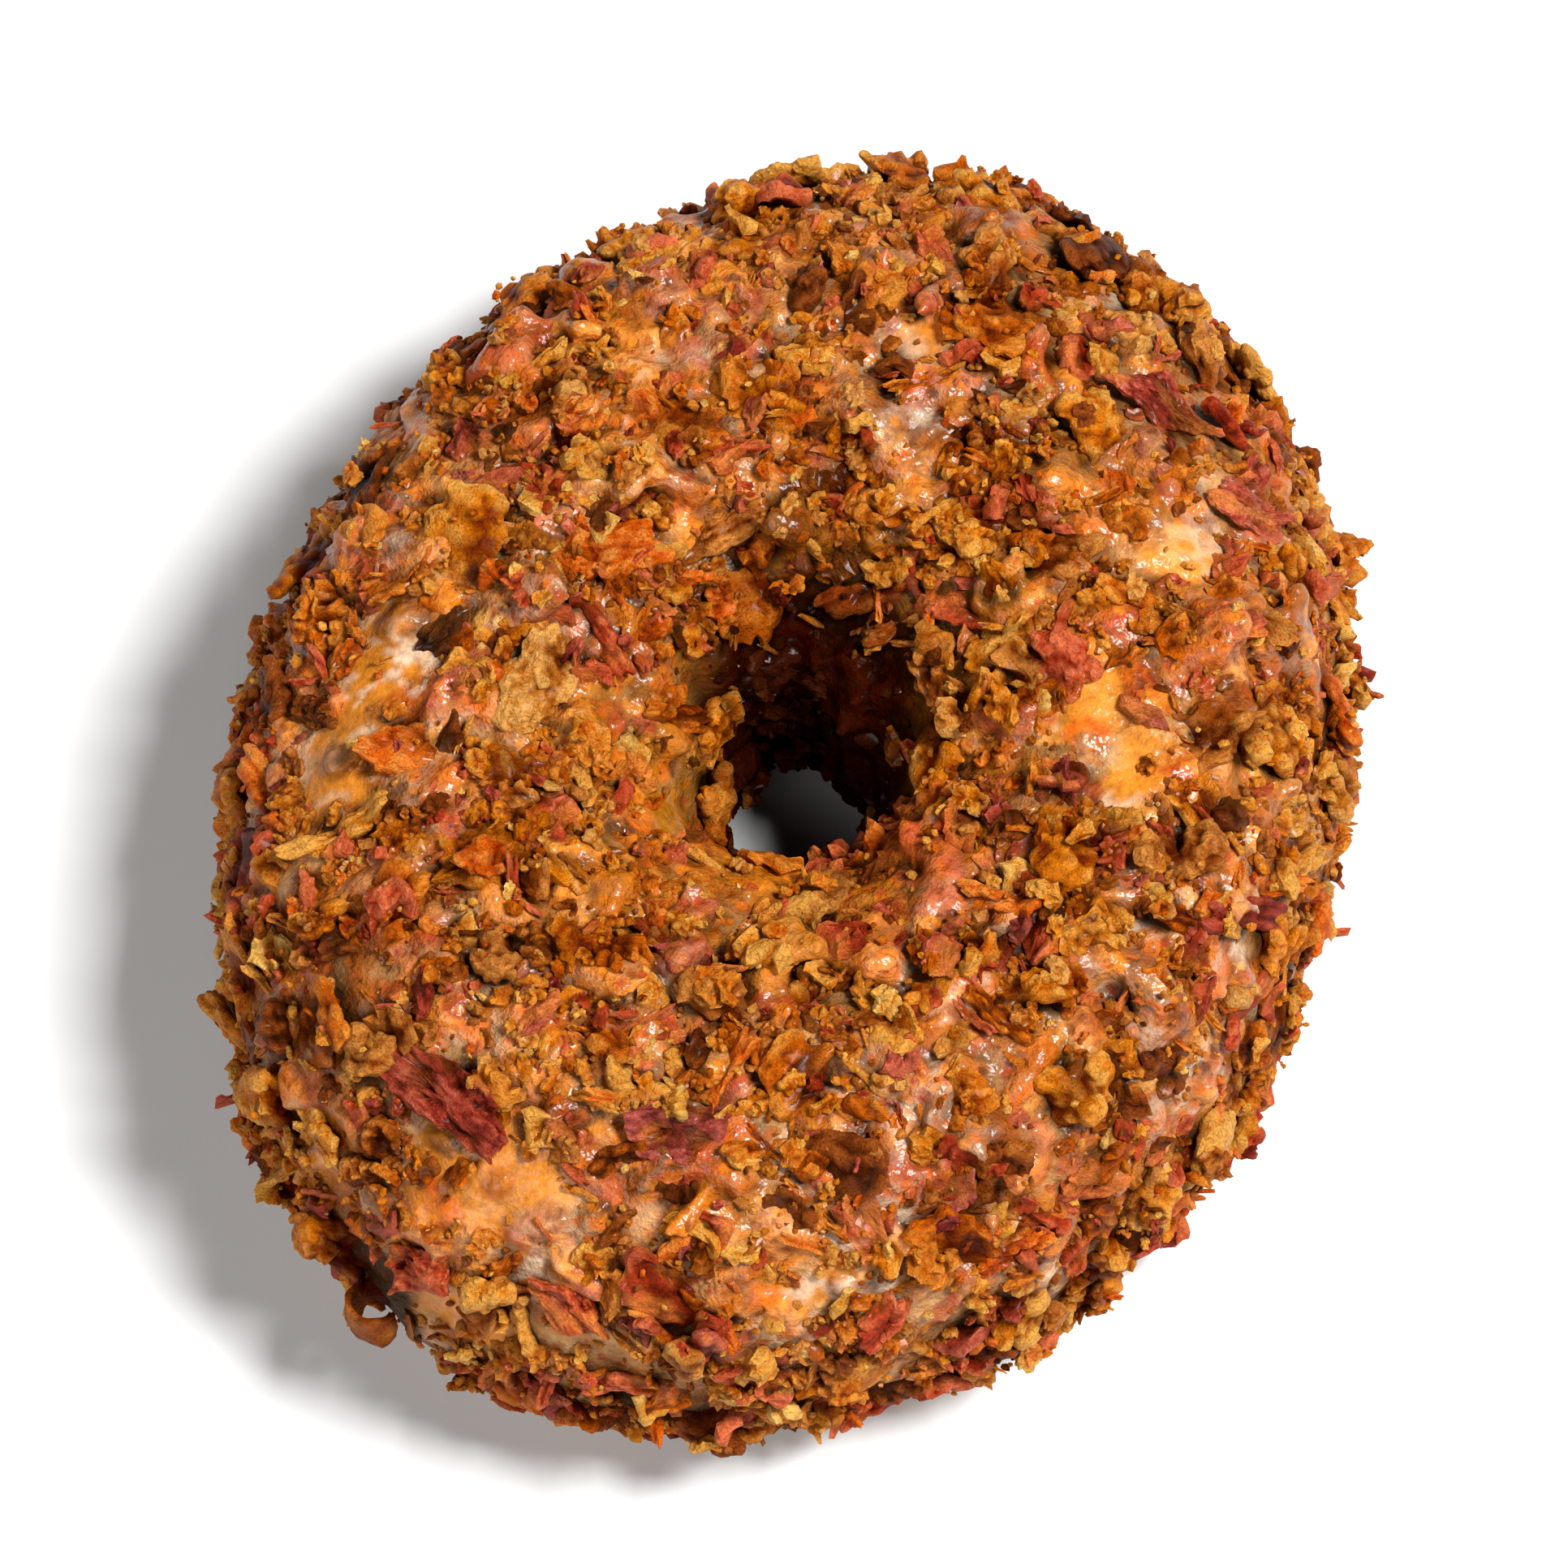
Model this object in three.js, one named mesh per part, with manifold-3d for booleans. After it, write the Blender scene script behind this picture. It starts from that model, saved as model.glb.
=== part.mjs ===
// A ring doughnut of fried yeast dough, dipped in maple icing and pressed into chopped crisp bacon.
// Millimetres, +Z up. It stands on its flattened underside at z = 0, with its long way along Y.
// The dough is one solid, the icing with the small bacon chips stuck in it is another,
// and each of the large bacon pieces that lie on the icing is a solid of its own.

import * as THREE from "three";
import { mergeVertices } from "three/addons/utils/BufferGeometryUtils.js";
import Module from "manifold-3d";

const wasm = await Module();
wasm.setup();

const { sin, cos, abs, max, hypot, PI } = Math;
const degrees = (angle) => (angle * PI) / 180;

// Driving dimensions of the dough ring
const OUTLINE_LONG = 98; // along Y, without the icing
const OUTLINE_SHORT = 79; // along X
const HOLE_LONG = 17; // the hole at its narrowest, along Y
const HOLE_SHORT = 15.6;
const HOLE_SHIFT = { x: 1.0, y: -1.9 }; // the hole sits a little off the middle of the outline
const OUTLINE_WAVES = [
  // how the hand-cut outline departs from an oval: waves round the ring, height, and where one peaks
  { count: 2, height: 0.6, peak: -57 },
  { count: 3, height: 0.5, peak: -41 },
  { count: 4, height: 0.3, peak: -27 },
  { count: 5, height: 0.5, peak: 34 },
];
const WAIST_HEIGHT = 13; // height at which the ring is widest
const CROWN = 17.5; // from the waist to the top
const BASE = 14.6; // from the waist down, before the foot is pressed flat at z = 0
const CROWN_FULLNESS = 2.25; // 2 is an ellipse, more is fuller
const BASE_FULLNESS = 2.8;
const SWELLING = 0.35; // height of the dough's low swellings
const MIDDLE = { x: -0.1, y: -0.4 }; // puts the middle of the whole outline on the origin

// Driving dimensions of the icing
const ICING = 1.8; // thickness
const ICING_LUMPS = 0.35; // how far it swells over the crumbs that are sunk in it
const GAP = 0.3; // between touching solids
const OUTER_EDGE = degrees(-28); // where the icing ends on the outer side, as an angle round the tube
const INNER_EDGE = degrees(218); // and where it ends inside the hole
const EDGE_WAVE = degrees(4);

// How finely the surfaces are divided
const RING_STEPS = 38;
const DOUGH_TUBE_STEPS = 18;
const ICING_TUBE_STEPS = 16;

// Chopped bacon: chips are tried from the largest to the smallest, and one too near another is left out
const CHIP_TRIES = 1800;
const CHIP_SEED = 20260;
const CHIP_LONGEST = 8.6;
const CHIP_SHORTEST = 4.4;
const CHIP_SPREAD = 0.63; // least distance between two chips, as a share of their mean length
const CHIP_LOWEST = degrees(-19); // the band of the tube that the chips lie on
const CHIP_INNERMOST = degrees(202);
const THROAT = degrees(55); // within this angle of the hole's narrowest line, chips lie flatter
const THROAT_SHARE = 0.25; // and their tilt and roll are this share of the rest's
const TILT = [-12, 26]; // how far a scattered chip's end is lifted, least and most, in degrees
const ROLL = [-14, 14];
const BARE_MARGIN = 0.35; // how much of its length a chip keeps off a bare patch

// Smooth patches of icing with no chips: angle round the ring, angle round the tube, radius
const BARE_PATCHES = [
  { ring: 195.5, tube: 64, radius: 3.8 },
  { ring: 208.5, tube: 56, radius: 3.1 },
  { ring: 261.5, tube: 53, radius: 5.3 },
  { ring: 25, tube: 97, radius: 3.4 },
  { ring: 235.5, tube: 140, radius: 3.4 },
  { ring: 47.5, tube: 70, radius: 3.2 },
  { ring: 264, tube: 17, radius: 2.8 },
  { ring: 11.5, tube: 80, radius: 2.6 },
  { ring: 96.5, tube: 84, radius: 2.2 },
  { ring: 295, tube: 46, radius: 2.5 },
];

// Single pieces, each with its angle round the ring and round the tube, the way it points (from along
// the ring towards the hole), its length, width and thickness, how far its far end is lifted, and its bend,
// which curls both ends up. Angles are in degrees. The large ones are solids of their own.
const COLUMNS = ["ring", "tube", "turn", "long", "wide", "thick", "tilt", "bend"];
const LARGE_PIECES = {
  maroon_large: [252.5, 62, 8, 13.6, 5.4, 1.8, 3, 0.06],
  purple: [280, 77, 12, 8.6, 5.2, 1.8, -4, 0.05],
  red_front: [273, 35, -39, 7.4, 4.4, 1.8, 4, 0.05],
  red_side: [259, 25, 62, 7.8, 5.4, 1.8, -5, 0.08],
  curl_left: [219.5, 60, 105, 9.8, 2.6, 1.9, 0, 0.3],
  maroon_back: [66, 59, 20, 10.2, 5.2, 1.8, 5, 0.05],
  flake_back: [67, 17, -75, 8.6, 7.4, 2, -16, 0.1],
  lumpy_left: [195.5, 105, 0, 10.4, 6, 2.6, 0, 0.02],
  orange_inner: [159, 106, 151, 7.6, 4.2, 2.2, 8, 0.1],
  brown_strip: [131, 117, 10, 8.8, 3.2, 1.8, 0, 0.08],
  maroon_right: [50.5, 50, 74, 8.2, 4.4, 1.8, 4, 0.05],
  flake_top: [113, 17, 80, 7, 6.8, 2, 16, 0.1],
  rust_right: [34, 103, 40, 6.4, 5, 2.2, 0, 0.03],
  red_right: [351.5, 33, -27, 7.6, 3.2, 1.8, 0, 0.1],
};
const SMALL_PIECES = [
  [229.5, 6, 190, 8, 3, 2, 24, 0],
  [51.5, 16, -63, 7.4, 4.4, 2.2, 14, 0.1],
  [77, 67, 142, 5.2, 3.6, 2.2, 14, 0],
  [104.5, 112, 159, 5, 3.6, 1.8, 6, 0],
  [58.5, 121, 46, 5.2, 3.6, 1.8, 6, 0],
  [110, 86, 7, 6.4, 3.8, 2.2, 8, 0.14],
  [325, 84, 97, 6.6, 2.2, 2.2, 0, 0.2],
  [315, 39, 6, 7, 2.6, 2.2, 6, 0.2],
  [336.5, -8, 10, 8.2, 2.4, 2.2, 0, 0.1],
  [322, 26, 54, 6, 3.2, 1.9, 0, 0],
  [304.5, 24, -72, 5.6, 3.6, 1.9, 0, 0],
  [257, -9, 39, 6.8, 2.8, 1.8, 10, 0.4],
  [245, 33, 20, 6.4, 2.4, 2.2, 8, 0.1],
  [192, 140, 119, 7.4, 2.6, 2.2, 4, 0.1],
  [41, 117, 79, 5, 3.4, 2.2, 10, 0.1],
  [43.5, 133, 16, 5.4, 3, 2.2, 6, 0],
  [189.5, 79, 157, 5.2, 3.2, 1.8, 0, 0],
];

// A repeatable random stream: the same seed always gives the same numbers
const STREAM_STEP = 0x6d2b79f5;
const WORD = 2 ** 32;
function stream(seed) {
  let state = seed | 0;
  const next = () => {
    state = (state + STREAM_STEP) | 0;
    let mixed = Math.imul(state ^ (state >>> 15), 1 | state);
    mixed = (mixed + Math.imul(mixed ^ (mixed >>> 7), 61 | mixed)) ^ mixed;
    return ((mixed ^ (mixed >>> 14)) >>> 0) / WORD;
  };
  return (low, high) => low + (high - low) * next();
}

const ovalRadius = (ring, long, short) => 1 / hypot(cos(ring) / (short / 2), sin(ring) / (long / 2));

const outlineWaves = (ring) =>
  OUTLINE_WAVES.reduce((sum, wave) => sum + wave.height * cos(wave.count * (ring - degrees(wave.peak))), 0);

// Low swellings of the hand-stretched dough, as three waves that cross it on the slant
function swelling(ring, tube) {
  const broad = 1.3 * sin(3 * ring + 1.3) * cos(tube) + sin(2 * ring + 2 * tube + 0.4);
  return SWELLING * (broad + 0.7 * sin(5 * ring - 2 * tube + 2.2));
}

// A point of the dough before its foot is pressed flat. Ring is the angle round the hole, from +X;
// tube is the angle round the section, from outward through the top to the hole.
function roundPoint(ring, tube) {
  const outer = ovalRadius(ring, OUTLINE_LONG, OUTLINE_SHORT) + outlineWaves(ring);
  const shift = HOLE_SHIFT.x * cos(ring) + HOLE_SHIFT.y * sin(ring);
  const hole = ovalRadius(ring, HOLE_LONG, HOLE_SHORT) + shift;
  const above = sin(tube) >= 0;
  const fullness = above ? CROWN_FULLNESS : BASE_FULLNESS;
  const reach = (abs(cos(tube)) ** fullness + abs(sin(tube)) ** fullness) ** (-1 / fullness);
  const swell = swelling(ring, tube);
  const radius = (outer + hole) / 2 + ((outer - hole) / 2 + swell) * reach * cos(tube);
  const height = WAIST_HEIGHT + ((above ? CROWN : BASE) + swell) * reach * sin(tube);
  return new THREE.Vector3(radius * cos(ring), radius * sin(ring), height);
}

// The directions at a point of the dough: along the ring, up the tube, and out of the surface
const SMALL_TURN = 1e-3;
function directions(ring, tube) {
  const here = roundPoint(ring, tube);
  const along = roundPoint(ring + SMALL_TURN, tube).sub(here).normalize();
  const up = roundPoint(ring, tube + SMALL_TURN).sub(here);
  const out = new THREE.Vector3().crossVectors(along, up).normalize();
  return { along, across: new THREE.Vector3().crossVectors(out, along), out };
}

const surfacePoint = (ring, tube, height) =>
  roundPoint(ring, tube).addScaledVector(directions(ring, tube).out, height);

// A closed tube of triangles: pointAt gives the point at each step round the ring and round the tube
function closedTube(ringSteps, tubeSteps, pointAt) {
  const positions = [];
  const faces = [];
  for (let i = 0; i < ringSteps; i++) {
    for (let j = 0; j < tubeSteps; j++) {
      positions.push(...pointAt(i, j).toArray());
      const nextRing = ((i + 1) % ringSteps) * tubeSteps;
      const nextTube = (j + 1) % tubeSteps;
      const corners = [i * tubeSteps + j, nextRing + j, nextRing + nextTube, i * tubeSteps + nextTube];
      faces.push(corners[0], corners[1], corners[2], corners[0], corners[2], corners[3]);
    }
  }
  return indexed(positions, faces);
}

function indexed(positions, faces) {
  const geometry = new THREE.BufferGeometry();
  geometry.setAttribute("position", new THREE.Float32BufferAttribute(positions, 3));
  geometry.setIndex(faces);
  return geometry;
}

function solidOf(geometry) {
  const merged = mergeVertices(geometry, 1e-4);
  const mesh = new wasm.Mesh({
    numProp: 3,
    vertProperties: merged.attributes.position.array,
    triVerts: new Uint32Array(merged.index.array),
  });
  return new wasm.Manifold(mesh);
}

function geometryOf(solid) {
  const mesh = solid.getMesh();
  return indexed(Array.from(mesh.vertProperties), Array.from(mesh.triVerts));
}

// The dough ring, at a height above its own surface
const ringAngle = (i) => (2 * PI * i) / RING_STEPS;
function doughGeometry(height, footHeight) {
  const tubeAngle = (j) => (2 * PI * j) / DOUGH_TUBE_STEPS;
  return closedTube(RING_STEPS, DOUGH_TUBE_STEPS, (i, j) => {
    const point = surfacePoint(ringAngle(i), tubeAngle(j), height);
    point.z = max(point.z, footHeight);
    return point;
  });
}

// The icing as a cap over the dough, closed through the inside of the dough, which is cut away afterwards
const outerEdge = (ring) => OUTER_EDGE + EDGE_WAVE * (sin(6 * ring + 0.5) + 0.6 * sin(11 * ring + 2));
const innerEdge = (ring) => INNER_EDGE + EDGE_WAVE * (sin(4 * ring + 1) + 0.5 * sin(9 * ring));
const lumps = ({ x, y, z }) => (ICING_LUMPS / 2) * (sin(0.9 * x + 0.3 * z) + sin(0.8 * y - 0.4 * z + 1));
const INSIDE = -2.5; // depth in the dough at which the cap is closed
function icingGeometry() {
  return closedTube(RING_STEPS, 2 * ICING_TUBE_STEPS, (i, j) => {
    const ring = ringAngle(i);
    const outside = j < ICING_TUBE_STEPS;
    const step = outside ? j : 2 * ICING_TUBE_STEPS - 1 - j;
    const share = step / (ICING_TUBE_STEPS - 1);
    const tube = outerEdge(ring) + share * (innerEdge(ring) - outerEdge(ring));
    const atLip = step === 0 || step === ICING_TUBE_STEPS - 1;
    const thickness = atLip ? ICING / 2 : ICING + lumps(roundPoint(ring, tube));
    return surfacePoint(ring, tube, outside ? thickness : INSIDE);
  });
}

// A small chip: a jagged face that narrows downwards to a keel sunk in the icing. A lump also has a crown.
const CORNERS = 6;
const JITTER = 0.25; // how uneven the corners' spacing is
const REACH = [0.62, 1.1]; // and their distance from the middle
const KEEL_SHARE = 0.8; // depth of the keel below the middle, as a share of half the thickness
const FACE_HEIGHTS = [0.4, 1.1]; // heights of a flake's corners, as shares of half the thickness
const LUMP_HEIGHTS = [-0.2, 0.4]; // and of a lump's, which has a crown above them
const CROWN_SHIFT = 0.15; // how far off the middle a lump's crown may be, as a share of its size
function chipGeometry(chip) {
  const random = stream(chip.seed);
  const half = chip.thick / 2;
  const curl = (x) => (chip.bend * x * x) / (chip.long / 2);
  const positions = [0, 0, -half * KEEL_SHARE];
  for (let k = 0; k < CORNERS; k++) {
    const angle = (2 * PI * (k + random(-JITTER, JITTER))) / CORNERS;
    const reach = random(...REACH);
    const x = (chip.long / 2) * reach * cos(angle);
    const y = (chip.wide / 2) * reach * sin(angle);
    positions.push(x, y, curl(x) + half * random(...(chip.lump ? LUMP_HEIGHTS : FACE_HEIGHTS)));
  }
  const crown = CORNERS + 1;
  const shift = () => random(-CROWN_SHIFT, CROWN_SHIFT);
  if (chip.lump) positions.push(shift() * chip.long, shift() * chip.wide, half);
  const faces = [];
  for (let k = 1; k <= CORNERS; k++) {
    const next = (k % CORNERS) + 1;
    faces.push(0, next, k);
    if (chip.lump) faces.push(crown, k, next);
    else if (k > 1 && k < CORNERS) faces.push(1, k, next);
  }
  return indexed(positions, faces);
}

// A large piece: a ragged slab, widest at its rim, that ripples along its length
const SLAB_CORNERS = 10;
const SLAB_FACE = 0.72; // size of the faces against the rim
const SLAB_JITTER = 0.2;
const SLAB_REACH = [0.76, 1.08];
const RIPPLE = 0.22; // height of the ripples, and their number for each width of the piece
const RIPPLES = 0.8;
function slabGeometry(piece, grow) {
  const random = stream(piece.seed);
  const half = piece.thick / 2 + grow;
  const ripple = (x) => RIPPLE * sin((2 * PI * RIPPLES * x) / piece.wide);
  const bow = (x) => (piece.bend * x * x) / (piece.long / 2) + ripple(x);
  const positions = [0, 0, -half, 0, 0, half];
  for (let k = 0; k < SLAB_CORNERS; k++) {
    const angle = (2 * PI * (k + random(-SLAB_JITTER, SLAB_JITTER))) / SLAB_CORNERS;
    const reach = random(...SLAB_REACH);
    const x = (piece.long / 2 + grow) * reach * cos(angle);
    const y = (piece.wide / 2 + grow) * reach * sin(angle);
    const middle = half * random(-SLAB_JITTER, SLAB_JITTER);
    for (const [share, height] of [[SLAB_FACE, -half], [1, middle], [SLAB_FACE, half]]) {
      positions.push(share * x, share * y, bow(share * x) + height);
    }
  }
  const faces = [];
  for (let k = 0; k < SLAB_CORNERS; k++) {
    const under = 2 + 3 * k;
    const nextUnder = 2 + 3 * ((k + 1) % SLAB_CORNERS);
    faces.push(0, nextUnder, under, 1, under + 2, nextUnder + 2);
    for (const level of [0, 1]) {
      const a = under + level;
      const b = nextUnder + level;
      faces.push(a, b, b + 1, a, b + 1, a + 1);
    }
  }
  return indexed(positions, faces);
}

// Lays a chip or a large piece on the icing, turned and tilted
function laid(chip, geometry) {
  const { along, across, out } = directions(chip.ring, chip.tube);
  const x = along.clone().multiplyScalar(cos(chip.turn)).addScaledVector(across, sin(chip.turn));
  const y = new THREE.Vector3().crossVectors(out, x);
  const lengthways = x.clone().multiplyScalar(cos(chip.tilt)).addScaledVector(out, sin(chip.tilt));
  const tilted = new THREE.Vector3().crossVectors(lengthways, y);
  const sideways = y.clone().multiplyScalar(cos(chip.roll)).addScaledVector(tilted, sin(chip.roll));
  const upwards = new THREE.Vector3().crossVectors(lengthways, sideways);
  const place = new THREE.Matrix4().makeBasis(lengthways, sideways, upwards);
  place.setPosition(surfacePoint(chip.ring, chip.tube, chip.height));
  return geometry.applyMatrix4(place);
}

const laidChip = (chip) => laid(chip, chipGeometry(chip));
const laidSlab = (piece, grow = 0) => laid(piece, slabGeometry(piece, grow));

// How high above the dough the middle of a chip lies, with its keel sunk in the icing
const SINK = 0.85; // depth of the keel below the icing's surface
const TILT_LIFT = 0.15; // how far a tilted chip's middle rises, as a share of its lifted end's height
const restingHeight = (thick, long, tilt) =>
  ICING + (KEEL_SHARE * thick) / 2 - SINK + TILT_LIFT * long * abs(sin(tilt));

// The single pieces, with their angles in radians and their height above the dough
const SINGLE_SEED = 500;
const LARGE_RISE = SINK / 2; // a large piece lies higher than a small one
function singlePiece(numbers, index, rise) {
  const piece = Object.fromEntries(COLUMNS.map((column, k) => [column, numbers[k]]));
  for (const angle of ["ring", "tube", "turn", "tilt"]) piece[angle] = degrees(piece[angle]);
  const height = restingHeight(piece.thick, piece.long, piece.tilt) + rise;
  return { ...piece, roll: 0, height, seed: SINGLE_SEED + index };
}
const largePieces = Object.entries(LARGE_PIECES).map(([name, numbers], index) => ({
  name: "bacon_" + name,
  ...singlePiece(numbers, index, LARGE_RISE),
}));
const smallPieces = SMALL_PIECES.map((numbers, index) =>
  singlePiece(numbers, largePieces.length + index, 0),
);

// The kinds of scattered chip: how common each is, its length and width as shares of the length drawn,
// its thickness in millimetres and its bend
const KINDS = [
  { share: 0.5, long: 1, wide: [0.6, 0.9], thick: [1.9, 2.7], bend: [-0.05, 0.12], lump: false }, // flakes
  { share: 0.16, long: 1.15, wide: [0.4, 0.55], thick: [2.1, 2.9], bend: [0, 0.25], lump: false }, // strips
  { share: 0.34, long: 0.85, wide: [0.65, 0.8], thick: [3.0, 4.2], bend: [0, 0], lump: true }, // lumps
];
function shapedChip(random, size) {
  let pick = random(0, 1);
  const kind = KINDS.find(({ share }) => (pick -= share) < 0) ?? KINDS[0];
  return {
    long: size * kind.long,
    wide: size * random(...kind.wide),
    thick: random(...kind.thick),
    bend: random(...kind.bend),
    lump: kind.lump,
  };
}

function scatteredChips() {
  const taken = [...largePieces, ...smallPieces].map((piece) => ({
    at: surfacePoint(piece.ring, piece.tube, ICING),
    long: piece.long,
  }));
  const bare = BARE_PATCHES.map((patch) => ({
    at: surfacePoint(degrees(patch.ring), degrees(patch.tube), ICING),
    radius: patch.radius,
  }));
  const chips = [];
  for (let i = 0; i < CHIP_TRIES; i++) {
    const random = stream(CHIP_SEED + i);
    const long = CHIP_LONGEST + (CHIP_SHORTEST - CHIP_LONGEST) * (i / CHIP_TRIES);
    const ring = random(0, 2 * PI);
    const tube = random(CHIP_LOWEST, CHIP_INNERMOST);
    const turn = random(0, 2 * PI);
    const looseness = abs(tube - PI) < THROAT ? THROAT_SHARE : 1;
    const tilt = looseness * degrees(random(...TILT));
    const roll = looseness * degrees(random(...ROLL));
    const chance = random(0, 1);
    const shape = shapedChip(random, long);
    const at = surfacePoint(ring, tube, ICING);
    const room = hypot(at.x, at.y) / (OUTLINE_LONG / 2); // a narrow part of the ring has room for fewer
    const leftOut =
      room < chance ||
      taken.some((other) => other.at.distanceTo(at) < (CHIP_SPREAD * (other.long + long)) / 2) ||
      bare.some((patch) => patch.at.distanceTo(at) < patch.radius + BARE_MARGIN * long);
    if (leftOut) continue;
    taken.push({ at, long });
    const height = restingHeight(shape.thick, shape.long, tilt);
    chips.push({ ...shape, ring, tube, turn, tilt, roll, height, seed: CHIP_SEED + CHIP_TRIES + i });
  }
  return chips;
}

// Joins the icing with its chips, clears it of the dough and the large pieces, and keeps its main body
function icingSolid() {
  const chips = [...smallPieces, ...scatteredChips()].map((chip) => solidOf(laidChip(chip)));
  const joined = wasm.Manifold.union([solidOf(icingGeometry()), ...chips]);
  const room = wasm.Manifold.union([
    solidOf(doughGeometry(GAP, -BASE)),
    ...largePieces.map((piece) => solidOf(laidSlab(piece, GAP))),
  ]);
  const bodies = joined.subtract(room).decompose();
  return bodies.reduce((largest, body) => (body.volume() > largest.volume() ? body : largest));
}

const dough = new THREE.MeshStandardMaterial({ color: 0xb9732f, roughness: 0.75, metalness: 0 });
const icing = new THREE.MeshStandardMaterial({ color: 0xb5691f, roughness: 0.35, metalness: 0 });
const bacon = new THREE.MeshStandardMaterial({ color: 0xa04a30, roughness: 0.55, metalness: 0 });

function named(name, geometry, material) {
  const mesh = new THREE.Mesh(geometry, material);
  mesh.name = name;
  return mesh;
}

const doughnut = new THREE.Group();
doughnut.position.set(MIDDLE.x, MIDDLE.y, 0);
doughnut.add(named("dough_ring", doughGeometry(0, 0), dough));
doughnut.add(named("icing_with_chips", geometryOf(icingSolid()), icing));
for (const piece of largePieces) {
  doughnut.add(named(piece.name, laidSlab(piece), bacon));
}

export default doughnut;
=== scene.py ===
"""The look of a maple bacon doughnut: fried dough, glossy maple icing and thousands of chopped bacon bits.

Lengths are in millimetres until a mesh is made. Angles are in radians, apart from those in tables and the
tilts of dropped bits, which are in degrees. The rules for the dough, the icing and the chips in it are
those of the part's solids.
"""

import math

import bmesh
import bpy
import numpy as np
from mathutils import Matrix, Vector
from mathutils.kdtree import KDTree


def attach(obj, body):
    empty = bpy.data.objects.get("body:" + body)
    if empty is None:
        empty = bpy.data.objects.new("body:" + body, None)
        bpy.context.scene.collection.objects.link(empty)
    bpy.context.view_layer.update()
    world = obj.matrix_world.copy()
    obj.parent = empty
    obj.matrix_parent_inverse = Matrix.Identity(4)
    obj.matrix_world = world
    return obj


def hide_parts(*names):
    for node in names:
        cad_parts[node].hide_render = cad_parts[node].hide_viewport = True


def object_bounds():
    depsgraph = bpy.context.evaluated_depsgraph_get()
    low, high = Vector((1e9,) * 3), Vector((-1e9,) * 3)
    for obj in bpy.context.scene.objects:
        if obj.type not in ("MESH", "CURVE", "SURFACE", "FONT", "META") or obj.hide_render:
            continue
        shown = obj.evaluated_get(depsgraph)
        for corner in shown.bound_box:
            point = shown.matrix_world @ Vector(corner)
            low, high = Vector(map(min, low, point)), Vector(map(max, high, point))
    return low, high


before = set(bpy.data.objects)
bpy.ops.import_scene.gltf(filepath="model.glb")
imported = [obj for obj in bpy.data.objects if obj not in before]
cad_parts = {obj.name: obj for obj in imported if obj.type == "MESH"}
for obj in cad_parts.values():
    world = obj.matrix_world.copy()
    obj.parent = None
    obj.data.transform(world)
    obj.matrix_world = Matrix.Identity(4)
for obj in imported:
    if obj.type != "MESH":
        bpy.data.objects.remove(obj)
cad_low, cad_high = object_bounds()

MM = 0.001
TURN = 2 * math.pi
WORD = 0xFFFFFFFF  # the random streams and the noise count in 32 bits

# The dough ring and its icing
OUTLINE_LONG, OUTLINE_SHORT = 98.0, 79.0
HOLE_LONG, HOLE_SHORT = 17.0, 15.6
HOLE_SHIFT = (1.0, -1.9)
OUTLINE_WAVES = ((2, 0.6, -57), (3, 0.5, -41), (4, 0.3, -27), (5, 0.5, 34))  # count, height, peak
WAIST_HEIGHT, CROWN, BASE = 13.0, 17.5, 14.6  # the widest level, and the reach above and below it
CROWN_FULLNESS, BASE_FULLNESS = 2.25, 2.8  # 2 is an ellipse, more is fuller
SWELLING = 0.35
MIDDLE = np.array([-0.1, -0.4, 0.0])
ICING, ICING_LUMPS = 1.8, 0.35
OUTER_EDGE, INNER_EDGE, EDGE_WAVE = math.radians(-28), math.radians(218), math.radians(4)
SMALL_TURN = 1e-3  # for slopes


def unit(a):
    return a / np.linalg.norm(a, axis=-1, keepdims=True)


def oval_radius(ring, long, short):
    return 1 / np.hypot(np.cos(ring) / (short / 2), np.sin(ring) / (long / 2))


def outline(ring):
    """The radii of the outer outline and of the hole at an angle round the ring."""
    outer = oval_radius(ring, OUTLINE_LONG, OUTLINE_SHORT)
    for count, height, peak in OUTLINE_WAVES:
        outer = outer + height * np.cos(count * (ring - math.radians(peak)))
    hole = oval_radius(ring, HOLE_LONG, HOLE_SHORT)
    return outer, hole + HOLE_SHIFT[0] * np.cos(ring) + HOLE_SHIFT[1] * np.sin(ring)


def swelling(ring, tube):
    broad = 1.3 * np.sin(3 * ring + 1.3) * np.cos(tube) + np.sin(2 * ring + 2 * tube + 0.4)
    return SWELLING * (broad + 0.7 * np.sin(5 * ring - 2 * tube + 2.2))


def round_point(ring, tube):
    """The point of the dough at an angle round the ring and an angle round its tube, 0 being outside."""
    ring, tube = np.broadcast_arrays(np.asarray(ring, float), np.asarray(tube, float))
    outer, hole = outline(ring)
    above = np.sin(tube) >= 0
    fullness = np.where(above, CROWN_FULLNESS, BASE_FULLNESS)
    reach = (np.abs(np.cos(tube)) ** fullness + np.abs(np.sin(tube)) ** fullness) ** (-1 / fullness)
    swell = swelling(ring, tube)
    radius = (outer + hole) / 2 + ((outer - hole) / 2 + swell) * reach * np.cos(tube)
    height = WAIST_HEIGHT + (np.where(above, CROWN, BASE) + swell) * reach * np.sin(tube)
    return np.stack([radius * np.cos(ring), radius * np.sin(ring), height], -1)


def directions(ring, tube):
    """The directions along the ring, across it and out of it at a place on the dough."""
    here = round_point(ring, tube)
    along = unit(round_point(np.asarray(ring) + SMALL_TURN, tube) - here)
    up = round_point(ring, np.asarray(tube) + SMALL_TURN) - here
    out = unit(np.cross(along, up))
    return along, np.cross(out, along), out


def surface_point(ring, tube, height):
    out = directions(ring, tube)[2]
    return round_point(ring, tube) + out * np.asarray(height, float)[..., None]


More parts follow.
